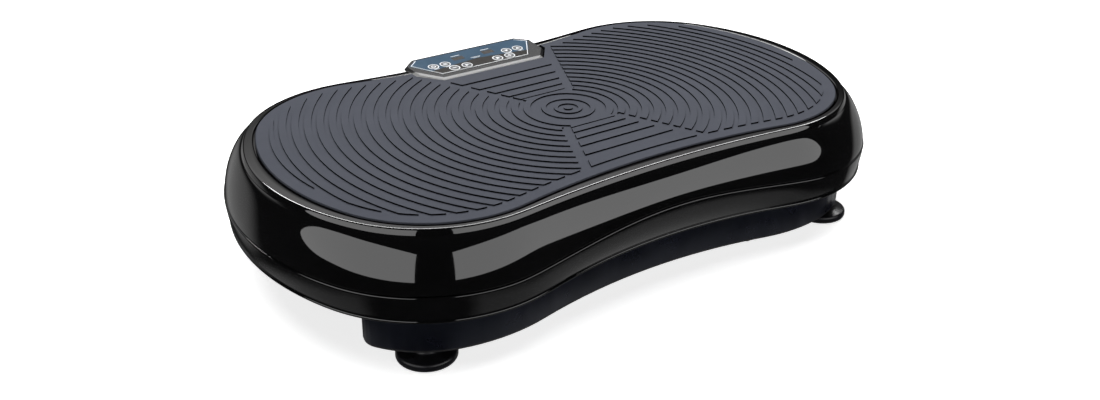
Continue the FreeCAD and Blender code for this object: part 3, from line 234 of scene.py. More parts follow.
class Paint:
    """A node material with a Principled shader and helpers for grain, mottle and wear."""

    def __init__(self, name, colour, roughness=0.5, metallic=0.0):
        self.material = bpy.data.materials.new(name)
        self.material.use_nodes = True
        self.tree = self.material.node_tree
        self.shader = self.tree.nodes["Principled BSDF"]
        self.shader.inputs["Base Color"].default_value = (*colour, 1)
        self.shader.inputs["Roughness"].default_value = roughness
        self.shader.inputs["Metallic"].default_value = metallic
        self.colour = colour
        self.roughness = roughness
        self.place = self.add("ShaderNodeTexCoord").outputs["Object"]

    def add(self, kind, **settings):
        """A new node in the material's tree."""
        item = self.tree.nodes.new(kind)
        for key, value in settings.items():
            setattr(item, key, value)
        return item

    def link(self, source, target):
        self.tree.links.new(source, target)

    def noise(self, scale, detail, stretch=None):
        """A noise value in the part's own space; scale is features per metre."""
        texture = self.add("ShaderNodeTexNoise")
        texture.inputs["Scale"].default_value = scale
        texture.inputs["Detail"].default_value = detail
        texture.inputs["Roughness"].default_value = NOISE_ROUGHNESS
        place = self.place
        if stretch is not None:
            mapping = self.add("ShaderNodeMapping")
            mapping.inputs["Scale"].default_value = stretch
            self.link(self.place, mapping.inputs["Vector"])
            place = mapping.outputs["Vector"]
        self.link(place, texture.inputs["Vector"])
        return texture.outputs["Fac"]

    def spread(self, value, low, high, from_low=0.3, from_high=0.7):
        """A value mapped from one range onto another."""
        item = self.add("ShaderNodeMapRange")
        item.inputs["From Min"].default_value = from_low
        item.inputs["From Max"].default_value = from_high
        item.inputs["To Min"].default_value = low
        item.inputs["To Max"].default_value = high
        self.link(value, item.inputs["Value"])
        return item.outputs["Result"]

    def mottle(self, scale, amount, detail=4, stretch=None):
        """Vary the colour's brightness by an amount either way."""
        dark = tuple(part * (1 - amount) for part in self.colour)
        light = tuple(min(1, part * (1 + amount)) for part in self.colour)
        tint = self.fade(self.spread(self.noise(scale, detail, stretch=stretch), 0, 1), dark, light)
        self.link(tint, self.shader.inputs["Base Color"])
        return self

    def polish(self, scale, amount, detail=4, stretch=None):
        """Vary the roughness by an amount either way."""
        low = max(SMOOTHEST, self.roughness - amount)
        spread = self.spread(self.noise(scale, detail, stretch=stretch), low, self.roughness + amount)
        self.link(spread, self.shader.inputs["Roughness"])
        return self

    def grain(self, scale, depth, detail=3):
        """Fine surface relief; depth in metres."""
        bump = self.add("ShaderNodeBump")
        bump.inputs["Strength"].default_value = 1.0
        bump.inputs["Distance"].default_value = depth
        self.link(self.noise(scale, detail), bump.inputs["Height"])
        self.link(bump.outputs["Normal"], self.shader.inputs["Normal"])
        return self

    def set(self, **sockets):
        """Constant values set straight on the shader."""
        for key, value in sockets.items():
            self.shader.inputs[key.replace("_", " ")].default_value = value
        return self

    def fade(self, share, low, high=None):
        """A colour between two, by a share; with one, up to the colour that the shader has so far."""
        item = self.add("ShaderNodeMix", data_type="RGBA")
        self.link(share, item.inputs["Factor"])
        item.inputs["A"].default_value = (*low, 1)
        if high is None:
            self.link(self.shader.inputs["Base Color"].links[0].from_socket, item.inputs["B"])
        elif isinstance(high, tuple):
            item.inputs["B"].default_value = (*high, 1)
        else:
            self.link(high, item.inputs["B"])
        return item.outputs["Result"]


def gloss_shell():
    """Piano-black moulding with a faint unevenness in its colour and shine."""
    paint = Paint("shell_gloss", (0.0022, 0.0022, 0.0024), 0.035)
    paint.set(IOR=1.5)
    return paint.mottle(9, 0.3).polish(26, 0.012).grain(22, 0.00001, 2).material


def mat_rubber():
    """Slate-grey moulded rubber with a fine matte grain, and painted shade turning the steep walls of its
    grooves near black.
    """
    paint = Paint("mat_rubber", (0.070, 0.0745, 0.091), 0.8)
    paint.set(Specular_IOR_Level=0.02)
    paint.mottle(14, 0.04, 6).polish(60, 0.07).grain(1500, 0.00005, 4)
    # Painted shade: the colour darkens to near black where the surface normal tilts toward the horizontal, on
    # the groove walls.
    split = paint.add("ShaderNodeSeparateXYZ")
    paint.link(paint.add("ShaderNodeNewGeometry").outputs["Normal"], split.inputs["Vector"])
    level = paint.spread(split.outputs["Z"], 0, 1, *WALL_SHADE_TILTS)
    paint.link(paint.fade(level, GROOVE_WALL_SHADE), paint.shader.inputs["Base Color"])
    return paint.material


def satin_skirt():
    """Fine-textured black moulding."""
    paint = Paint("skirt_plastic", (0.0035, 0.004, 0.008), 0.3)
    paint.set(Specular_IOR_Level=0.35, Specular_Tint=(0.72, 0.8, 1.0, 1))
    return paint.mottle(20, 0.3).polish(45, 0.05).grain(900, 0.00003, 4).material


def foot_rubber():
    """Black rubber with a slight shine."""
    paint = Paint("foot_rubber", (0.006, 0.006, 0.009), 0.32)
    paint.set(Specular_IOR_Level=0.25)
    return paint.mottle(60, 0.3).polish(90, 0.06).grain(700, 0.00003).material


def plain_rubber(name, colour, roughness):
    """Dull rubber."""
    return Paint(name, colour, roughness).mottle(70, 0.2).polish(120, 0.08).grain(1200, 0.00005).material


def powder_coat():
    """Black powder coat with its orange peel."""
    paint = Paint("frame_paint", (0.022, 0.022, 0.025), 0.42)
    return paint.mottle(30, 0.2).polish(80, 0.08).grain(650, 0.00006, 2).material


def motor_paint():
    """Black enamel with a thin clear coat."""
    paint = Paint("motor_paint", (0.014, 0.014, 0.017), 0.3)
    paint.set(Coat_Weight=0.2, Coat_Roughness=0.2)
    return paint.mottle(40, 0.25).polish(60, 0.07).grain(500, 0.00004).material


def turned_steel(name, colour, roughness):
    """Machined metal with fine tool marks round its axis."""
    paint = Paint(name, colour, roughness, 1.0)
    paint.set(Anisotropic=0.4)
    return paint.mottle(80, 0.1).polish(300, 0.09, stretch=(1, 12, 1)).grain(2500, 0.00001).material


def cast_metal(name, colour, roughness, relief):
    """Cast or plated metal with its own relief."""
    paint = Paint(name, colour, roughness, 1.0)
    return paint.mottle(90, 0.14).polish(150, 0.1).grain(1100, relief, 4).material


def board_laminate():
    """Green solder mask over a faint copper pattern."""
    paint = Paint("board_laminate", (0.012, 0.075, 0.03), 0.32)
    return paint.mottle(260, 0.35, 1, (1, 0.12, 1)).polish(220, 0.06).grain(420, 0.00004, 1).material


def moulded(name, colour, roughness):
    """Moulded plastic with a fine texture."""
    return Paint(name, colour, roughness).mottle(50, 0.16).polish(110, 0.06).grain(1300, 0.00003).material


def housing_gloss():
    """Console surround: grey-black gloss with fine wiping marks, and a painted silver highlight along its
    front edges standing in for their bevel's reflection.
    """
    paint = Paint("housing_gloss", (0.02, 0.02, 0.021), 0.2)
    paint.set(Specular_IOR_Level=0.3)
    paint.mottle(60, 0.2).polish(260, 0.05, stretch=(0.2, 1, 1)).grain(120, 0.00002)
    # Painted highlight: a silver band within a set distance of the front edge lines, in place of the bevel's
    # reflection.
    inside = None
    for normal_x, normal_y, offset in BEVEL_HIGHLIGHT_EDGES:
        along = paint.add("ShaderNodeVectorMath", operation="DOT_PRODUCT")
        along.inputs[1].default_value = (normal_x, normal_y, 0)
        paint.link(paint.place, along.inputs[0])
        apart = paint.add("ShaderNodeMath", operation="SUBTRACT")
        paint.link(along.outputs["Value"], apart.inputs[0])
        apart.inputs[1].default_value = offset * MM
        if inside is None:
            inside = apart.outputs["Value"]
        else:
            nearer = paint.add("ShaderNodeMath", operation="MINIMUM")
            paint.link(inside, nearer.inputs[0])
            paint.link(apart.outputs["Value"], nearer.inputs[1])
            inside = nearer.outputs["Value"]
    beyond = paint.spread(inside, 0, 1, BEVEL_HIGHLIGHT_WIDE * MM, (BEVEL_HIGHLIGHT_WIDE + BEVEL_HIGHLIGHT_FADE) * MM)
    paint.link(paint.fade(beyond, PAINTED_BEVEL_HIGHLIGHT), paint.shader.inputs["Base Color"])
    return paint.material


def printed_film():
    """Cloudy blue ink, with a brown-grey band along the front edge."""
    paint = Paint("printed_film", FILM_BLUE, 0.45)
    paint.set(Specular_IOR_Level=0.03)
    split = paint.add("ShaderNodeSeparateXYZ")
    paint.link(paint.place, split.inputs["Vector"])
    sideways = paint.add("ShaderNodeMath", operation="ABSOLUTE")
    paint.link(split.outputs["X"], sideways.inputs[0])
    droop = paint.add("ShaderNodeMath", operation="MULTIPLY_ADD")
    droop.inputs[1].default_value = BAND_SLOPE
    paint.link(sideways.outputs["Value"], droop.inputs[0])
    paint.link(split.outputs["Y"], droop.inputs[2])
    edge = paint.spread(droop.outputs["Value"], 0, 1, BAND_EDGE - BAND_FADE, BAND_EDGE + BAND_FADE)
    blues = paint.fade(paint.spread(paint.noise(34, 4), 0, 1), FILM_BLUE, FILM_LIGHT_BLUE)
    paint.link(paint.fade(edge, BAND_BROWN, blues), paint.shader.inputs["Base Color"])
    return paint.polish(150, 0.05).grain(1800, 0.00001).material


def display_glass():
    """Smoked window over a dim module."""
    paint = Paint("display_glass", (0.045, 0.04, 0.037), 0.25)
    paint.set(Specular_IOR_Level=0.12)
    return paint.mottle(300, 0.12).polish(200, 0.03).grain(500, 0.000004).material


def ink(name, colour, roughness, cloud):
    """Printed ink with a faint unevenness."""
    paint = Paint(name, colour, roughness)
    return paint.mottle(400, cloud).polish(500, 0.05).grain(2500, 0.000008).material


MATERIALS = {
    "mat_rubber": mat_rubber(),
    "shell_gloss": gloss_shell(),
    "housing_gloss": housing_gloss(),
    "skirt_plastic": satin_skirt(),
    "foot_rubber": foot_rubber(),
    "buffer_rubber": plain_rubber("buffer_rubber", (0.012, 0.012, 0.012), 0.6),
    "belt_rubber": plain_rubber("belt_rubber", (0.016, 0.016, 0.016), 0.66),
    "frame_paint": powder_coat(),
    "motor_paint": motor_paint(),
    "zinc_steel": cast_metal("zinc_steel", (0.56, 0.57, 0.55), 0.34, 0.00001),
    "shaft_steel": turned_steel("shaft_steel", (0.5, 0.5, 0.52), 0.22),
    "bearing_steel": turned_steel("bearing_steel", (0.6, 0.6, 0.62), 0.14),
    "cast_aluminium": cast_metal("cast_aluminium", (0.6, 0.61, 0.63), 0.38, 0.00003),
    "block_iron": cast_metal("block_iron", (0.07, 0.07, 0.075), 0.55, 0.00012),
    "bush_bronze": cast_metal("bush_bronze", (0.5, 0.31, 0.12), 0.4, 0.00002),
    "board_laminate": board_laminate(),
    "board_parts": moulded("board_parts", (0.03, 0.03, 0.034), 0.45),
    "inlet_plastic": moulded("inlet_plastic", (0.011, 0.011, 0.012), 0.42),
    "rocker_plastic": moulded("rocker_plastic", (0.25, 0.012, 0.01), 0.22),
    "printed_film": printed_film(),
    "display_glass": display_glass(),
    "switch_plastic": moulded("switch_plastic", (0.02, 0.02, 0.02), 0.5),
    "key_plastic": moulded("key_plastic", (0.5, 0.5, 0.49), 0.42),
}
WHITE_INK = ink("white_ink", (0.72, 0.74, 0.76), 0.38, 0.06)
DARK_INK = ink("dark_ink", (0.016, 0.017, 0.02), 0.35, 0.2)


def paint_nodes():
    """Every CAD node takes its slot's material."""
    for entry in frame["record"]["subparts"]:
        item = NODES[entry["node"]]
        item.data.materials.clear()
        item.data.materials.append(MATERIALS[entry["material_slot"]])


WELD_REACH = 0.000002
BEVEL_ANGLE = math.radians(35)
BEVEL_STEPS = 2
SOFTENED = (("foot_mat", 0.42), ("console_housing", 0.8), ("base_skirt", 0.6), ("power_inlet", 0.5),
            ("switch_frame", 0.5), ("power_rocker", 0.5))


def soften(name, width):
    """Weld a CAD node's split faces and round its sharp edges."""
    item = NODES[name]
    weld = item.modifiers.new("weld", "WELD")
    weld.merge_threshold = WELD_REACH
    bevel = item.modifiers.new("edge", "BEVEL")
    bevel.width = width * MM
    bevel.segments = BEVEL_STEPS
    bevel.limit_method = "ANGLE"
    bevel.angle_limit = BEVEL_ANGLE
    bevel.harden_normals = True


# ---------------------------------------------------------------- shells

# Millimetres. A pair in an EDGE, TOP or FOOT is how far a ring is set in or out, and how far up or down.
SEAM_HIGH = 80.0
HEM_LOW = 53.7
RIM_HIGH = 128.5
WALL = 3.0
RECESS_FLOOR = 125.0
RECESS_GAP = 1.5
SHOULDER_POWER = 1.5
SHOULDER_END = math.radians(87)
SEAM_STEP = 1.1
SEAM_ARCH = 13.0
ARCH_REACH = 170.0
CREST_RADIUS = 2.0
LIP_RADIUS = 13.0
LIP_TILTS = (12, 32)
LIP_OUT = 1.7
LIP_FOOT = 123.2
SEAM_EDGE = ((2.0, 0.0), (1.4, 0.1), (1.16, 0.45))
SEAM_EDGE_HIGH = 0.9
RECESS_EDGE = ((1.2, 0.0), (0.5, 0.1), (0.1, 0.5), (0.0, 1.2))
RECESS_LEDGE = 24
SEAM_GAP = 0.6
EDGE_RADIUS = 1.25
LOWER_OUT = 0.02
LOWER_LEAN = 1.0
BEAD_NECK = 2.6
BEAD_TOP = ((1.0, 0.06), (0.7, 0.18), (0.35, 0.45), (0.08, 0.9))
BEAD_FOOT = ((0.0, 1.1), (0.1, 0.5), (0.4, 0.15), (0.9, 0.0), (4.0, 0.0))
MOUTH_EDGE = ((0.6, 0.0), (0.1, 0.3), (0.0, 0.9), (0.0, 2.5))


def seam_arch():
    """How far the seam rises at each polar angle: most at the waist, and nothing beyond its reach."""
    along = np.clip(RIM.radius(ANGLES) * np.cos(ANGLES) / ARCH_REACH, -1, 1)
    return SEAM_ARCH * np.cos(along * math.pi / 2) ** 2


ARCH = seam_arch()


def shoulder(low, high, top, inset, steps, end=math.pi / 2, step=0.0):
    """Rings of the shoulder from the seam up to an outline.

    They are drawn in by an inset, and by a step more at the seam.
    """
    rings = []
    for turn in np.linspace(0, end, steps):
        share = math.cos(turn) ** (2 / SHOULDER_POWER)
        rise = math.sin(turn) ** (2 / SHOULDER_POWER)
        rings.append(ring(top.mix(SEAM, share).inset(inset + step * share), low + (high - low) * rise))
    return rings


def lip():
    """Rings of the rim's raised lip, from its foot over the crest."""
    lean, rise = LIP_TILTS
    rise_sin = math.sin(math.radians(rise))
    rise_cos = math.cos(math.radians(rise))
    top = RIM_HIGH - CREST_RADIUS * (1 - rise_sin)
    rings = []
    for tilt in np.radians(np.linspace(lean, rise, 7)):
        out = LIP_RADIUS * (math.cos(tilt) - rise_cos)
        down = LIP_RADIUS * (rise_sin - math.sin(tilt))
        rings.append(ring(RIM.inset(-out), top - down))
    for tilt in np.radians(np.linspace(rise + 7, 90, 9)):
        back = CREST_RADIUS * (rise_cos - math.cos(tilt))
        rings.append(ring(RIM.inset(back), RIM_HIGH - CREST_RADIUS * (1 - math.sin(tilt))))
    return rings


def top_shell():
    """Glossy upper shell: shoulder, raised lip, flat rim, recess wall and the inner side."""
    seam = SEAM_HIGH + ARCH
    rings = [ring(SEAM.inset(inset), seam + rise) for inset, rise in SEAM_EDGE]
    rings += shoulder(seam + SEAM_EDGE_HIGH, LIP_FOOT, RIM.inset(-LIP_OUT), 0, 40, SHOULDER_END, SEAM_STEP)
    rings += lip()
    edge = MAT.inset(-RECESS_GAP)
    rings += [ring(RIM.inset(inset), RIM_HIGH) for inset in (3.0, 7.0)]
    rings += [ring(edge.inset(-out), RIM_HIGH - drop) for out, drop in RECESS_EDGE]
    ledge = edge.inset(RECESS_LEDGE)
    rings += [ring(edge, RECESS_FLOOR), ring(ledge, RECESS_FLOOR), ring(ledge, RECESS_FLOOR - WALL)]
    rings += shoulder(seam, RECESS_FLOOR - WALL, RIM, WALL, 12)[::-1]
    mesh = loft("top_shell_skin", rings)
    piece("top_shell_skin", mesh, "platform", MATERIALS["shell_gloss"], ["top_shell"])


def lower_shell():
    """Glossy lower shell: a shallow wall with a bead at its hem, turned in under the plate."""
    low = HEM_LOW
    top = SEAM_HIGH + ARCH - SEAM_GAP
    rings = [ring(SEAM.inset(2.2), top), ring(SEAM.inset(EDGE_RADIUS), top)]
    for turn in np.radians((10, 22, 35, 50, 65, 80)):
        inset = EDGE_RADIUS - (EDGE_RADIUS - LOWER_OUT) * math.sin(turn)
        rings.append(ring(SEAM.inset(inset), top - EDGE_RADIUS + EDGE_RADIUS * math.cos(turn)))
    neck = low + BEAD_NECK
    for share in np.linspace(0.1, 1, 9):
        wall = SEAM.mix(HEM, share ** 2).inset(LOWER_OUT + LOWER_LEAN * share)
        rings.append(ring(wall, top + (neck - top) * share))
    rings += [ring(HEM.inset(inset), neck - drop) for inset, drop in BEAD_TOP]
    rings += [ring(HEM.inset(inset), low + rise) for inset, rise in BEAD_FOOT]
    rings += [ring(MOUTH.inset(-out), low + rise) for out, rise in MOUTH_EDGE]
    rings += [ring(HEM.inset(WALL + 3), low + 2.5), ring(HEM.inset(WALL), low + 5),
              ring(SEAM.inset(WALL + 0.8), top)]
    mesh = loft("lower_shell_skin", rings)
    piece("lower_shell_skin", mesh, "platform", MATERIALS["shell_gloss"], ["lower_shell"])


# ---------------------------------------------------------------- feet

FOOT_PROFILE = ([(3.4, 5.2), (20.0, 2.8)] + round_corner((23.4, 1.2), 1.2, 235, 270, 3)
                + round_corner((23.4, 3.6), 3.6, 282, 360, 8) + round_corner((24.0, 5.4), 3.0, 0, 72, 8)
                + [(21.6, 9.1), (18.8, 10.0), (16.2, 11.0), (14.8, 12.1), (14.2, 13.5), (3.4, 13.5)])


def feet():
    """Rubber feet, turned about their bolts."""
    for node in ("foot_front_left", "foot_front_right", "foot_rear_left", "foot_rear_right"):
        low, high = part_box(node)
        middle = (low + high) / 2 / MM
        mesh = loft(node + "_rubber", lathe(FOOT_PROFILE, middle.x, middle.y))
        piece(node + "_rubber", mesh, "base", MATERIALS["foot_rubber"], [node])


# ---------------------------------------------------------------- console

# Millimetres, and places on the console's plane count from the middle of its front edge.
CONSOLE_FRONT = 118.0
CONSOLE_HIGH = 128.2
CONSOLE_TILT = math.radians(3.5)
CONSOLE_PLANE = (Matrix.Translation((0, CONSOLE_FRONT * MM, CONSOLE_HIGH * MM))
                 @ Matrix.Rotation(CONSOLE_TILT, 4, "X"))
FILM_TOP = -0.1
INK_THICK = 0.06
KEY_PLACES = ((-53.5, 37.5), (-39, 37.5), (-35, 24.5), (-19.5, 24.5),
              (19.5, 24.5), (35, 24.5), (39, 37.5), (53.5, 37.5))
KEY_RING = 6.0
RING_WIDE = 0.95
DISC_RADIUS = 5.0
FILM_RIGHT = ((54.7, 16.0), (75.5, 50.0), (63.5, 60.7))
FRAME_INSET = 0.9
FRAME_WIDE = 0.8
REAR_SIDE = 3
WINDOW_PLACES = (-18.8, 18.8)
WINDOW_BACK = 44.5
WINDOW_SIZE = (14.0, 8.0)
MERGE_REACH = 0.0000001


class Print:
    """Flat printed shapes, gathered into one thin mesh on the console's plane."""

    def __init__(self, low, high):
        self.low = low
        self.high = high
        self.work = bmesh.new()

    def corners(self, points, height):
        """New mesh corners at one height over the console's plane."""
        return [self.work.verts.new(CONSOLE_PLANE @ Vector((x * MM, y * MM, height * MM)))
                for x, y in points]

    def outline(self, points):
        """A filled shape with a little thickness."""
        lower = self.corners(points, self.low)
        upper = self.corners(points, self.high)
        self.work.faces.new(upper)
        self.work.faces.new(lower[::-1])
        for i in range(len(points)):
            self.work.faces.new((lower[i - 1], lower[i], upper[i], upper[i - 1]))

    def bar(self, x, y, wide, deep):
        """A rectangle about a point."""
        left, right = x - wide / 2, x + wide / 2
        front, back = y - deep / 2, y + deep / 2
        self.outline([(left, front), (right, front), (right, back), (left, back)])

    def disc(self, x, y, radius):
        """A filled circle."""
        turns = np.linspace(0, 2 * math.pi, CIRCLE_STEPS, endpoint=False)
        self.outline([(x + radius * math.cos(turn), y + radius * math.sin(turn)) for turn in turns])

    def arc(self, x, y, inner, outer, start=0, end=360, steps=CIRCLE_STEPS):
        """A ring or part of one, as a run of four-sided blocks."""
        turns = np.radians(np.linspace(start, end, steps + 1))
        for first, second in zip(turns, turns[1:]):
            self.outline([(x + inner * math.cos(first), y + inner * math.sin(first)),
                          (x + outer * math.cos(first), y + outer * math.sin(first)),
                          (x + outer * math.cos(second), y + outer * math.sin(second)),
                          (x + inner * math.cos(second), y + inner * math.sin(second))])

    def frame(self, corners, wide, skip):
        """A line of even width just inside a closed outline, but for the side that ends at one corner."""
        inner = inset_corners(corners, wide)
        for i in range(len(corners)):
            if i != skip:
                self.outline([corners[i - 1], corners[i], inner[i], inner[i - 1]])

    def finish(self, name, material):
        """The gathered shapes as one piece that rides on the platform."""
        bmesh.ops.remove_doubles(self.work, verts=self.work.verts, dist=MERGE_REACH)
        mesh = bpy.data.meshes.new(name)
        self.work.to_mesh(mesh)
        self.work.free()
        piece(name, mesh, "platform", material)


def inset_corners(corners, amount):
    """Corners of a counter-clockwise outline drawn in by an even amount."""
    moved = []
    for i, here in enumerate(corners):
        normals = []
        for start, end in ((corners[i - 1], here), (here, corners[(i + 1) % len(corners)])):
            run, climb = end[0] - start[0], end[1] - start[1]
            length = math.hypot(run, climb)
            normals.append((-climb / length, run / length))
        (ax, ay), (bx, by) = normals
        share = amount / (1 + ax * bx + ay * by)
        moved.append((here[0] + (ax + bx) * share, here[1] + (ay + by) * share))
    return moved


def film_corners():
    """The film's corners, counter-clockwise from its front right one."""
    return list(FILM_RIGHT) + [(-x, y) for x, y in reversed(FILM_RIGHT)]


def key_signs(signs):
    """A generic sign in each ring: power, mode, minus, start, stop, plus, down and up."""
    power, mode, minus, start, stop, plus, down, up = KEY_PLACES
    x, y = power
    signs.arc(x, y, 1.8, 2.6, 120, 420, 24)
    signs.bar(x, y + 2.0, 0.8, 2.6)
    x, y = mode
    for back in (-1.5, 0, 1.5):
        signs.bar(x, y + back, 4.6, 0.7)
    x, y = minus
    signs.bar(x, y, 4.8, 1.0)
    x, y = start
    signs.outline([(x - 1.7, y - 2.3), (x + 2.5, y), (x - 1.7, y + 2.3)])
    x, y = stop
    signs.bar(x, y, 3.6, 3.6)
    x, y = plus
    signs.bar(x, y, 4.8, 1.0)
    signs.bar(x, y + 1.45, 1.0, 1.9)
    signs.bar(x, y - 1.45, 1.0, 1.9)
    x, y = down
    signs.outline([(x, y - 2.2), (x + 2.7, y + 1.8), (x - 2.7, y + 1.8)])
    x, y = up
    signs.outline([(x - 2.7, y - 1.8), (x + 2.7, y - 1.8), (x, y + 2.2)])


def console_print():
    """The film's white lines and rings, its dark key discs, its signs and its two windows."""
    high = FILM_TOP + INK_THICK
    dark = Print(FILM_TOP, high)
    white = Print(FILM_TOP, high)
    signs = Print(high, high + INK_THICK)
    glass = Print(FILM_TOP, high)
    for x, y in KEY_PLACES:
        dark.disc(x, y, DISC_RADIUS)
        white.arc(x, y, KEY_RING - RING_WIDE, KEY_RING)
        white.bar(x, y - KEY_RING - 1.3, 6.4, 0.6)
    key_signs(signs)
    white.frame(inset_corners(film_corners(), FRAME_INSET), FRAME_WIDE, REAR_SIDE)
    for x in WINDOW_PLACES:
        white.bar(x, 51.4, 10.5, 0.9)
        glass.bar(x, WINDOW_BACK, *WINDOW_SIZE)
    white.bar(0, 39.0, 12.0, 0.7)
    white.bar(0, 37.2, 8.0, 0.6)
    dark.finish("console_key_discs", DARK_INK)
    white.finish("console_lines", WHITE_INK)
    signs.finish("console_signs", WHITE_INK)
    glass.finish("console_windows", MATERIALS["display_glass"])


# ---------------------------------------------------------------- stage

# Metres, and directions as azimuth and elevation in degrees.
FLOOR_REACH = 30.0
AREA_LIGHT_GAIN = 4.0
BOX_RADIANCE = 2.35
BOX_CORNER = 0.28
OVERHEAD_PLACE = (0.15, 0.2, 1.25)
OVERHEAD_SIZE = (2.2, 1.5)
OVERHEAD_RADIANCE = 2.5
OVERHEAD_CORNER = 0.3
STRIP_PLACE = (0.62, 0.95, 1.35)
STRIP_AIM = (0, 0, 0.12)
STRIP_SIZE = (2.6, 0.35)
STRIP_RADIANCE = 22.0
STRIP_CORNER = 0.1
BACKDROP = 1.0
SIDE_GLOW = 0.4
FLOOR_GLOW = 0.24
ROOM_GLOW = 0.02
ABOVE = (0, 90)
BELOW = (0, -90)
CAMERA_PLACE = (-0.644, -0.899, 0.585)
CAMERA_RIGHT = (0.8196, -0.5729, 0.0106)
CAMERA_FORWARD = (0.514, 0.728, -0.454)
CAMERA_LENS = 39.24
CAMERA_SENSOR = 36


def stage_floor():
    """Pale floor that lights the object but stays out of its reflections."""
    mesh = bpy.data.meshes.new("floor")
    corners = [(-FLOOR_REACH, -FLOOR_REACH, 0), (FLOOR_REACH, -FLOOR_REACH, 0),
               (FLOOR_REACH, FLOOR_REACH, 0), (-FLOOR_REACH, FLOOR_REACH, 0)]
    mesh.from_pydata(corners, [], [(0, 1, 2, 3)])
    item = add_object("floor", mesh)
    paint = Paint("floor_paper", (0.8, 0.8, 0.8), 0.9)
    paint.set(Emission_Color=(1, 1, 1, 1), Emission_Strength=0.8)
    mesh.materials.append(paint.mottle(3, 0.01).material)
    item.visible_glossy = False


def softbox(name, start, end, low, high, square):
    """An upright light between two floor points, facing the object.

    It lights reflections only. Its end at square (-1 or 1) has square corners.
    """
    along = Vector((end[0] - start[0], end[1] - start[1], 0))
    wide, tall = along.length, high - low
    middle = Vector(((start[0] + end[0]) / 2, (start[1] + end[1]) / 2, (low + high) / 2))
    along.normalize()
    back = along.cross(Vector((0, 0, 1)))
    if back.dot(middle) < 0:
        along, back = -along, -back
    turn = Matrix((along, (0, 0, 1), back)).transposed()
    stand = Matrix.Translation(middle) @ turn.to_4x4()
    item = panel_light(name, stand, (wide, tall), BOX_RADIANCE, BOX_CORNER, square)
    item.visible_diffuse = False


def panel_light(name, stand, size, radiance, corner, square=0):
    """An area light of even radiance whose corners are rounded in its own coordinates."""
    wide, tall = size
    data = bpy.data.lights.new(name, "AREA")
    data.shape = "RECTANGLE"
    data.size = wide
    data.size_y = tall
    data.energy = radiance * AREA_LIGHT_GAIN * wide * tall
    data.use_nodes = True
    round_off(data.node_tree, wide, tall, corner, square)
    item = add_object(name, data)
    item.matrix_world = stand
    item.visible_camera = False
    return item


def math_maker(tree):
    """A function that adds a math node to a node tree, from numbers and other nodes' results."""
    def math_node(operation, *values):
        item = tree.nodes.new("ShaderNodeMath")
        item.operation = operation
        for socket, value in zip(item.inputs, values):
            if isinstance(value, (int, float)):
                socket.default_value = value
            else:
                tree.links.new(value, socket)
        return item.outputs["Value"]
    return math_node


def round_off(tree, wide, tall, corner, square):
    """Light only inside a rounded rectangle of the light's own surface; one end may stay square."""
    math_node = math_maker(tree)
    split = tree.nodes.new("ShaderNodeSeparateXYZ")
    geometry = tree.nodes.new("ShaderNodeNewGeometry")
    tree.links.new(geometry.outputs["Parametric"], split.inputs["Vector"])
    outside = []
    for share, size, plain in ((split.outputs["X"], wide, square), (split.outputs["Y"], tall, 0)):
        apart = math_node("SUBTRACT", share, 0.5)
        if plain:
            apart = math_node("MULTIPLY", apart, -plain * size)
        else:
            apart = math_node("MULTIPLY", math_node("ABSOLUTE", apart), size)
        outside.append(math_node("MAXIMUM", math_node("SUBTRACT", apart, size / 2 - corner), 0.0))
    squared = math_node("ADD", math_node("POWER", outside[0], 2.0), math_node("POWER", outside[1], 2.0))
    inside = math_node("LESS_THAN", math_node("SQRT", squared), corner)
    tree.links.new(inside, tree.nodes["Emission"].inputs["Strength"])


def lights():
    """Two upright softboxes either side of the camera, one overhead, and a strip behind."""
    softbox("left_box", (-1.24, 0.38), (-1.13, -1.17), 0.11, 1.10, 1)
    softbox("front_box", (-0.55, -1.47), (0.98, -0.97), 0.12, 1.1, -1)
    overhead = panel_light("top_box", Matrix.Translation(OVERHEAD_PLACE), OVERHEAD_SIZE,
                           OVERHEAD_RADIANCE, OVERHEAD_CORNER)
    overhead.visible_glossy = False
    aim = (Vector(STRIP_AIM) - Vector(STRIP_PLACE)).to_track_quat("-Z", "Y").to_matrix().to_4x4()
    behind = panel_light("back_strip", Matrix.Translation(STRIP_PLACE) @ aim, STRIP_SIZE,
                         STRIP_RADIANCE, STRIP_CORNER)
    behind.visible_diffuse = False


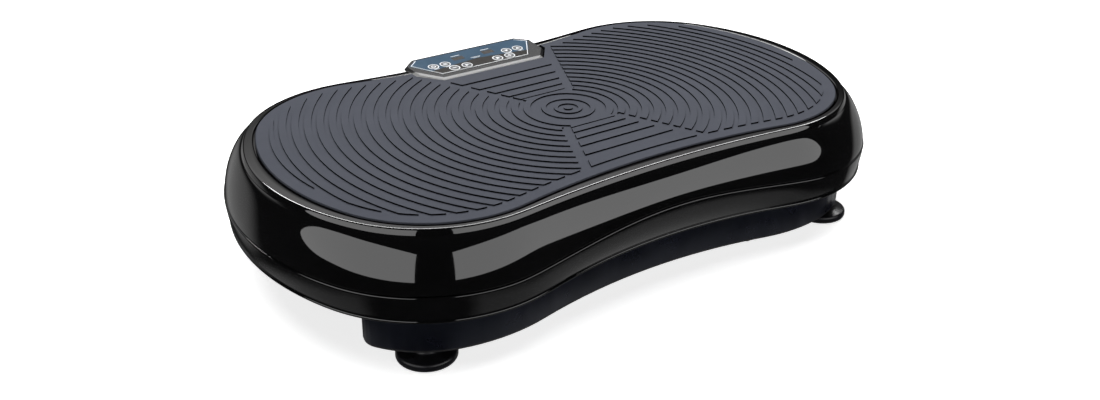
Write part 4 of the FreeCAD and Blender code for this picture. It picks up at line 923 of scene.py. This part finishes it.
def world():
    """White for the camera.

    For the object it is a dark room with a lit backdrop behind it, two glows at its sides and a grey floor.
    """
    room = bpy.data.worlds.new("studio")
    bpy.context.scene.world = room
    room.use_nodes = True
    tree = room.node_tree
    look = tree.nodes.new("ShaderNodeTexCoord").outputs["Generated"]
    join = math_maker(tree)

    def toward(azimuth, elevation, start, full):
        """Share of light round a direction, from none to full between two angles, in degrees."""
        turn, rise = math.radians(azimuth), math.radians(elevation)
        dot = tree.nodes.new("ShaderNodeVectorMath")
        dot.operation = "DOT_PRODUCT"
        dot.inputs[1].default_value = (math.cos(rise) * math.cos(turn), math.cos(rise) * math.sin(turn),
                                       math.sin(rise))
        tree.links.new(look, dot.inputs[0])
        ease = tree.nodes.new("ShaderNodeMapRange")
        ease.interpolation_type = "SMOOTHSTEP"
        ease.inputs["From Min"].default_value = math.cos(math.radians(start))
        ease.inputs["From Max"].default_value = math.cos(math.radians(full))
        tree.links.new(dot.outputs["Value"], ease.inputs["Value"])
        return ease.outputs["Result"]

    def without(light, *direction):
        """A light less the part of it that lies toward a direction."""
        return join("MULTIPLY", light, join("SUBTRACT", 1.0, toward(*direction)))

    backdrop = join("MULTIPLY", toward(60, 22, 62, 30), BACKDROP)
    backdrop = without(backdrop, *ABOVE, 55, 50)
    backdrop = without(backdrop, *BELOW, 118, 110)
    sides = join("ADD", toward(13, -15, 22, 12), toward(105, -10, 26, 12))
    backdrop = join("ADD", backdrop, join("MULTIPLY", sides, SIDE_GLOW))
    below = join("MULTIPLY", toward(*BELOW, 56, 48), FLOOR_GLOW)
    below = without(below, -130, -45, 38, 24)
    total = join("ADD", join("ADD", backdrop, below), ROOM_GLOW)
    path = tree.nodes.new("ShaderNodeLightPath").outputs["Is Camera Ray"]
    tree.links.new(join("MAXIMUM", total, path), tree.nodes["Background"].inputs["Strength"])
    tree.nodes["Background"].inputs["Color"].default_value = (1, 1, 1, 1)


def camera():
    """The photograph's viewpoint."""
    data = bpy.data.cameras.new("camera")
    data.sensor_width = CAMERA_SENSOR
    data.lens = CAMERA_LENS
    item = add_object("camera", data)
    right = Vector(CAMERA_RIGHT).normalized()
    forward = Vector(CAMERA_FORWARD).normalized()
    up = right.cross(forward).normalized()
    right = forward.cross(up).normalized()
    turn = Matrix((right, up, -forward)).transposed()
    item.matrix_world = Matrix.Translation(CAMERA_PLACE) @ turn.to_4x4()
    bpy.context.scene.camera = item


paint_nodes()
for softened, width in SOFTENED:
    soften(softened, width)
top_shell()
lower_shell()
feet()
console_print()
stage_floor()
lights()
world()
camera()
bpy.context.scene.view_settings.view_transform = "Standard"
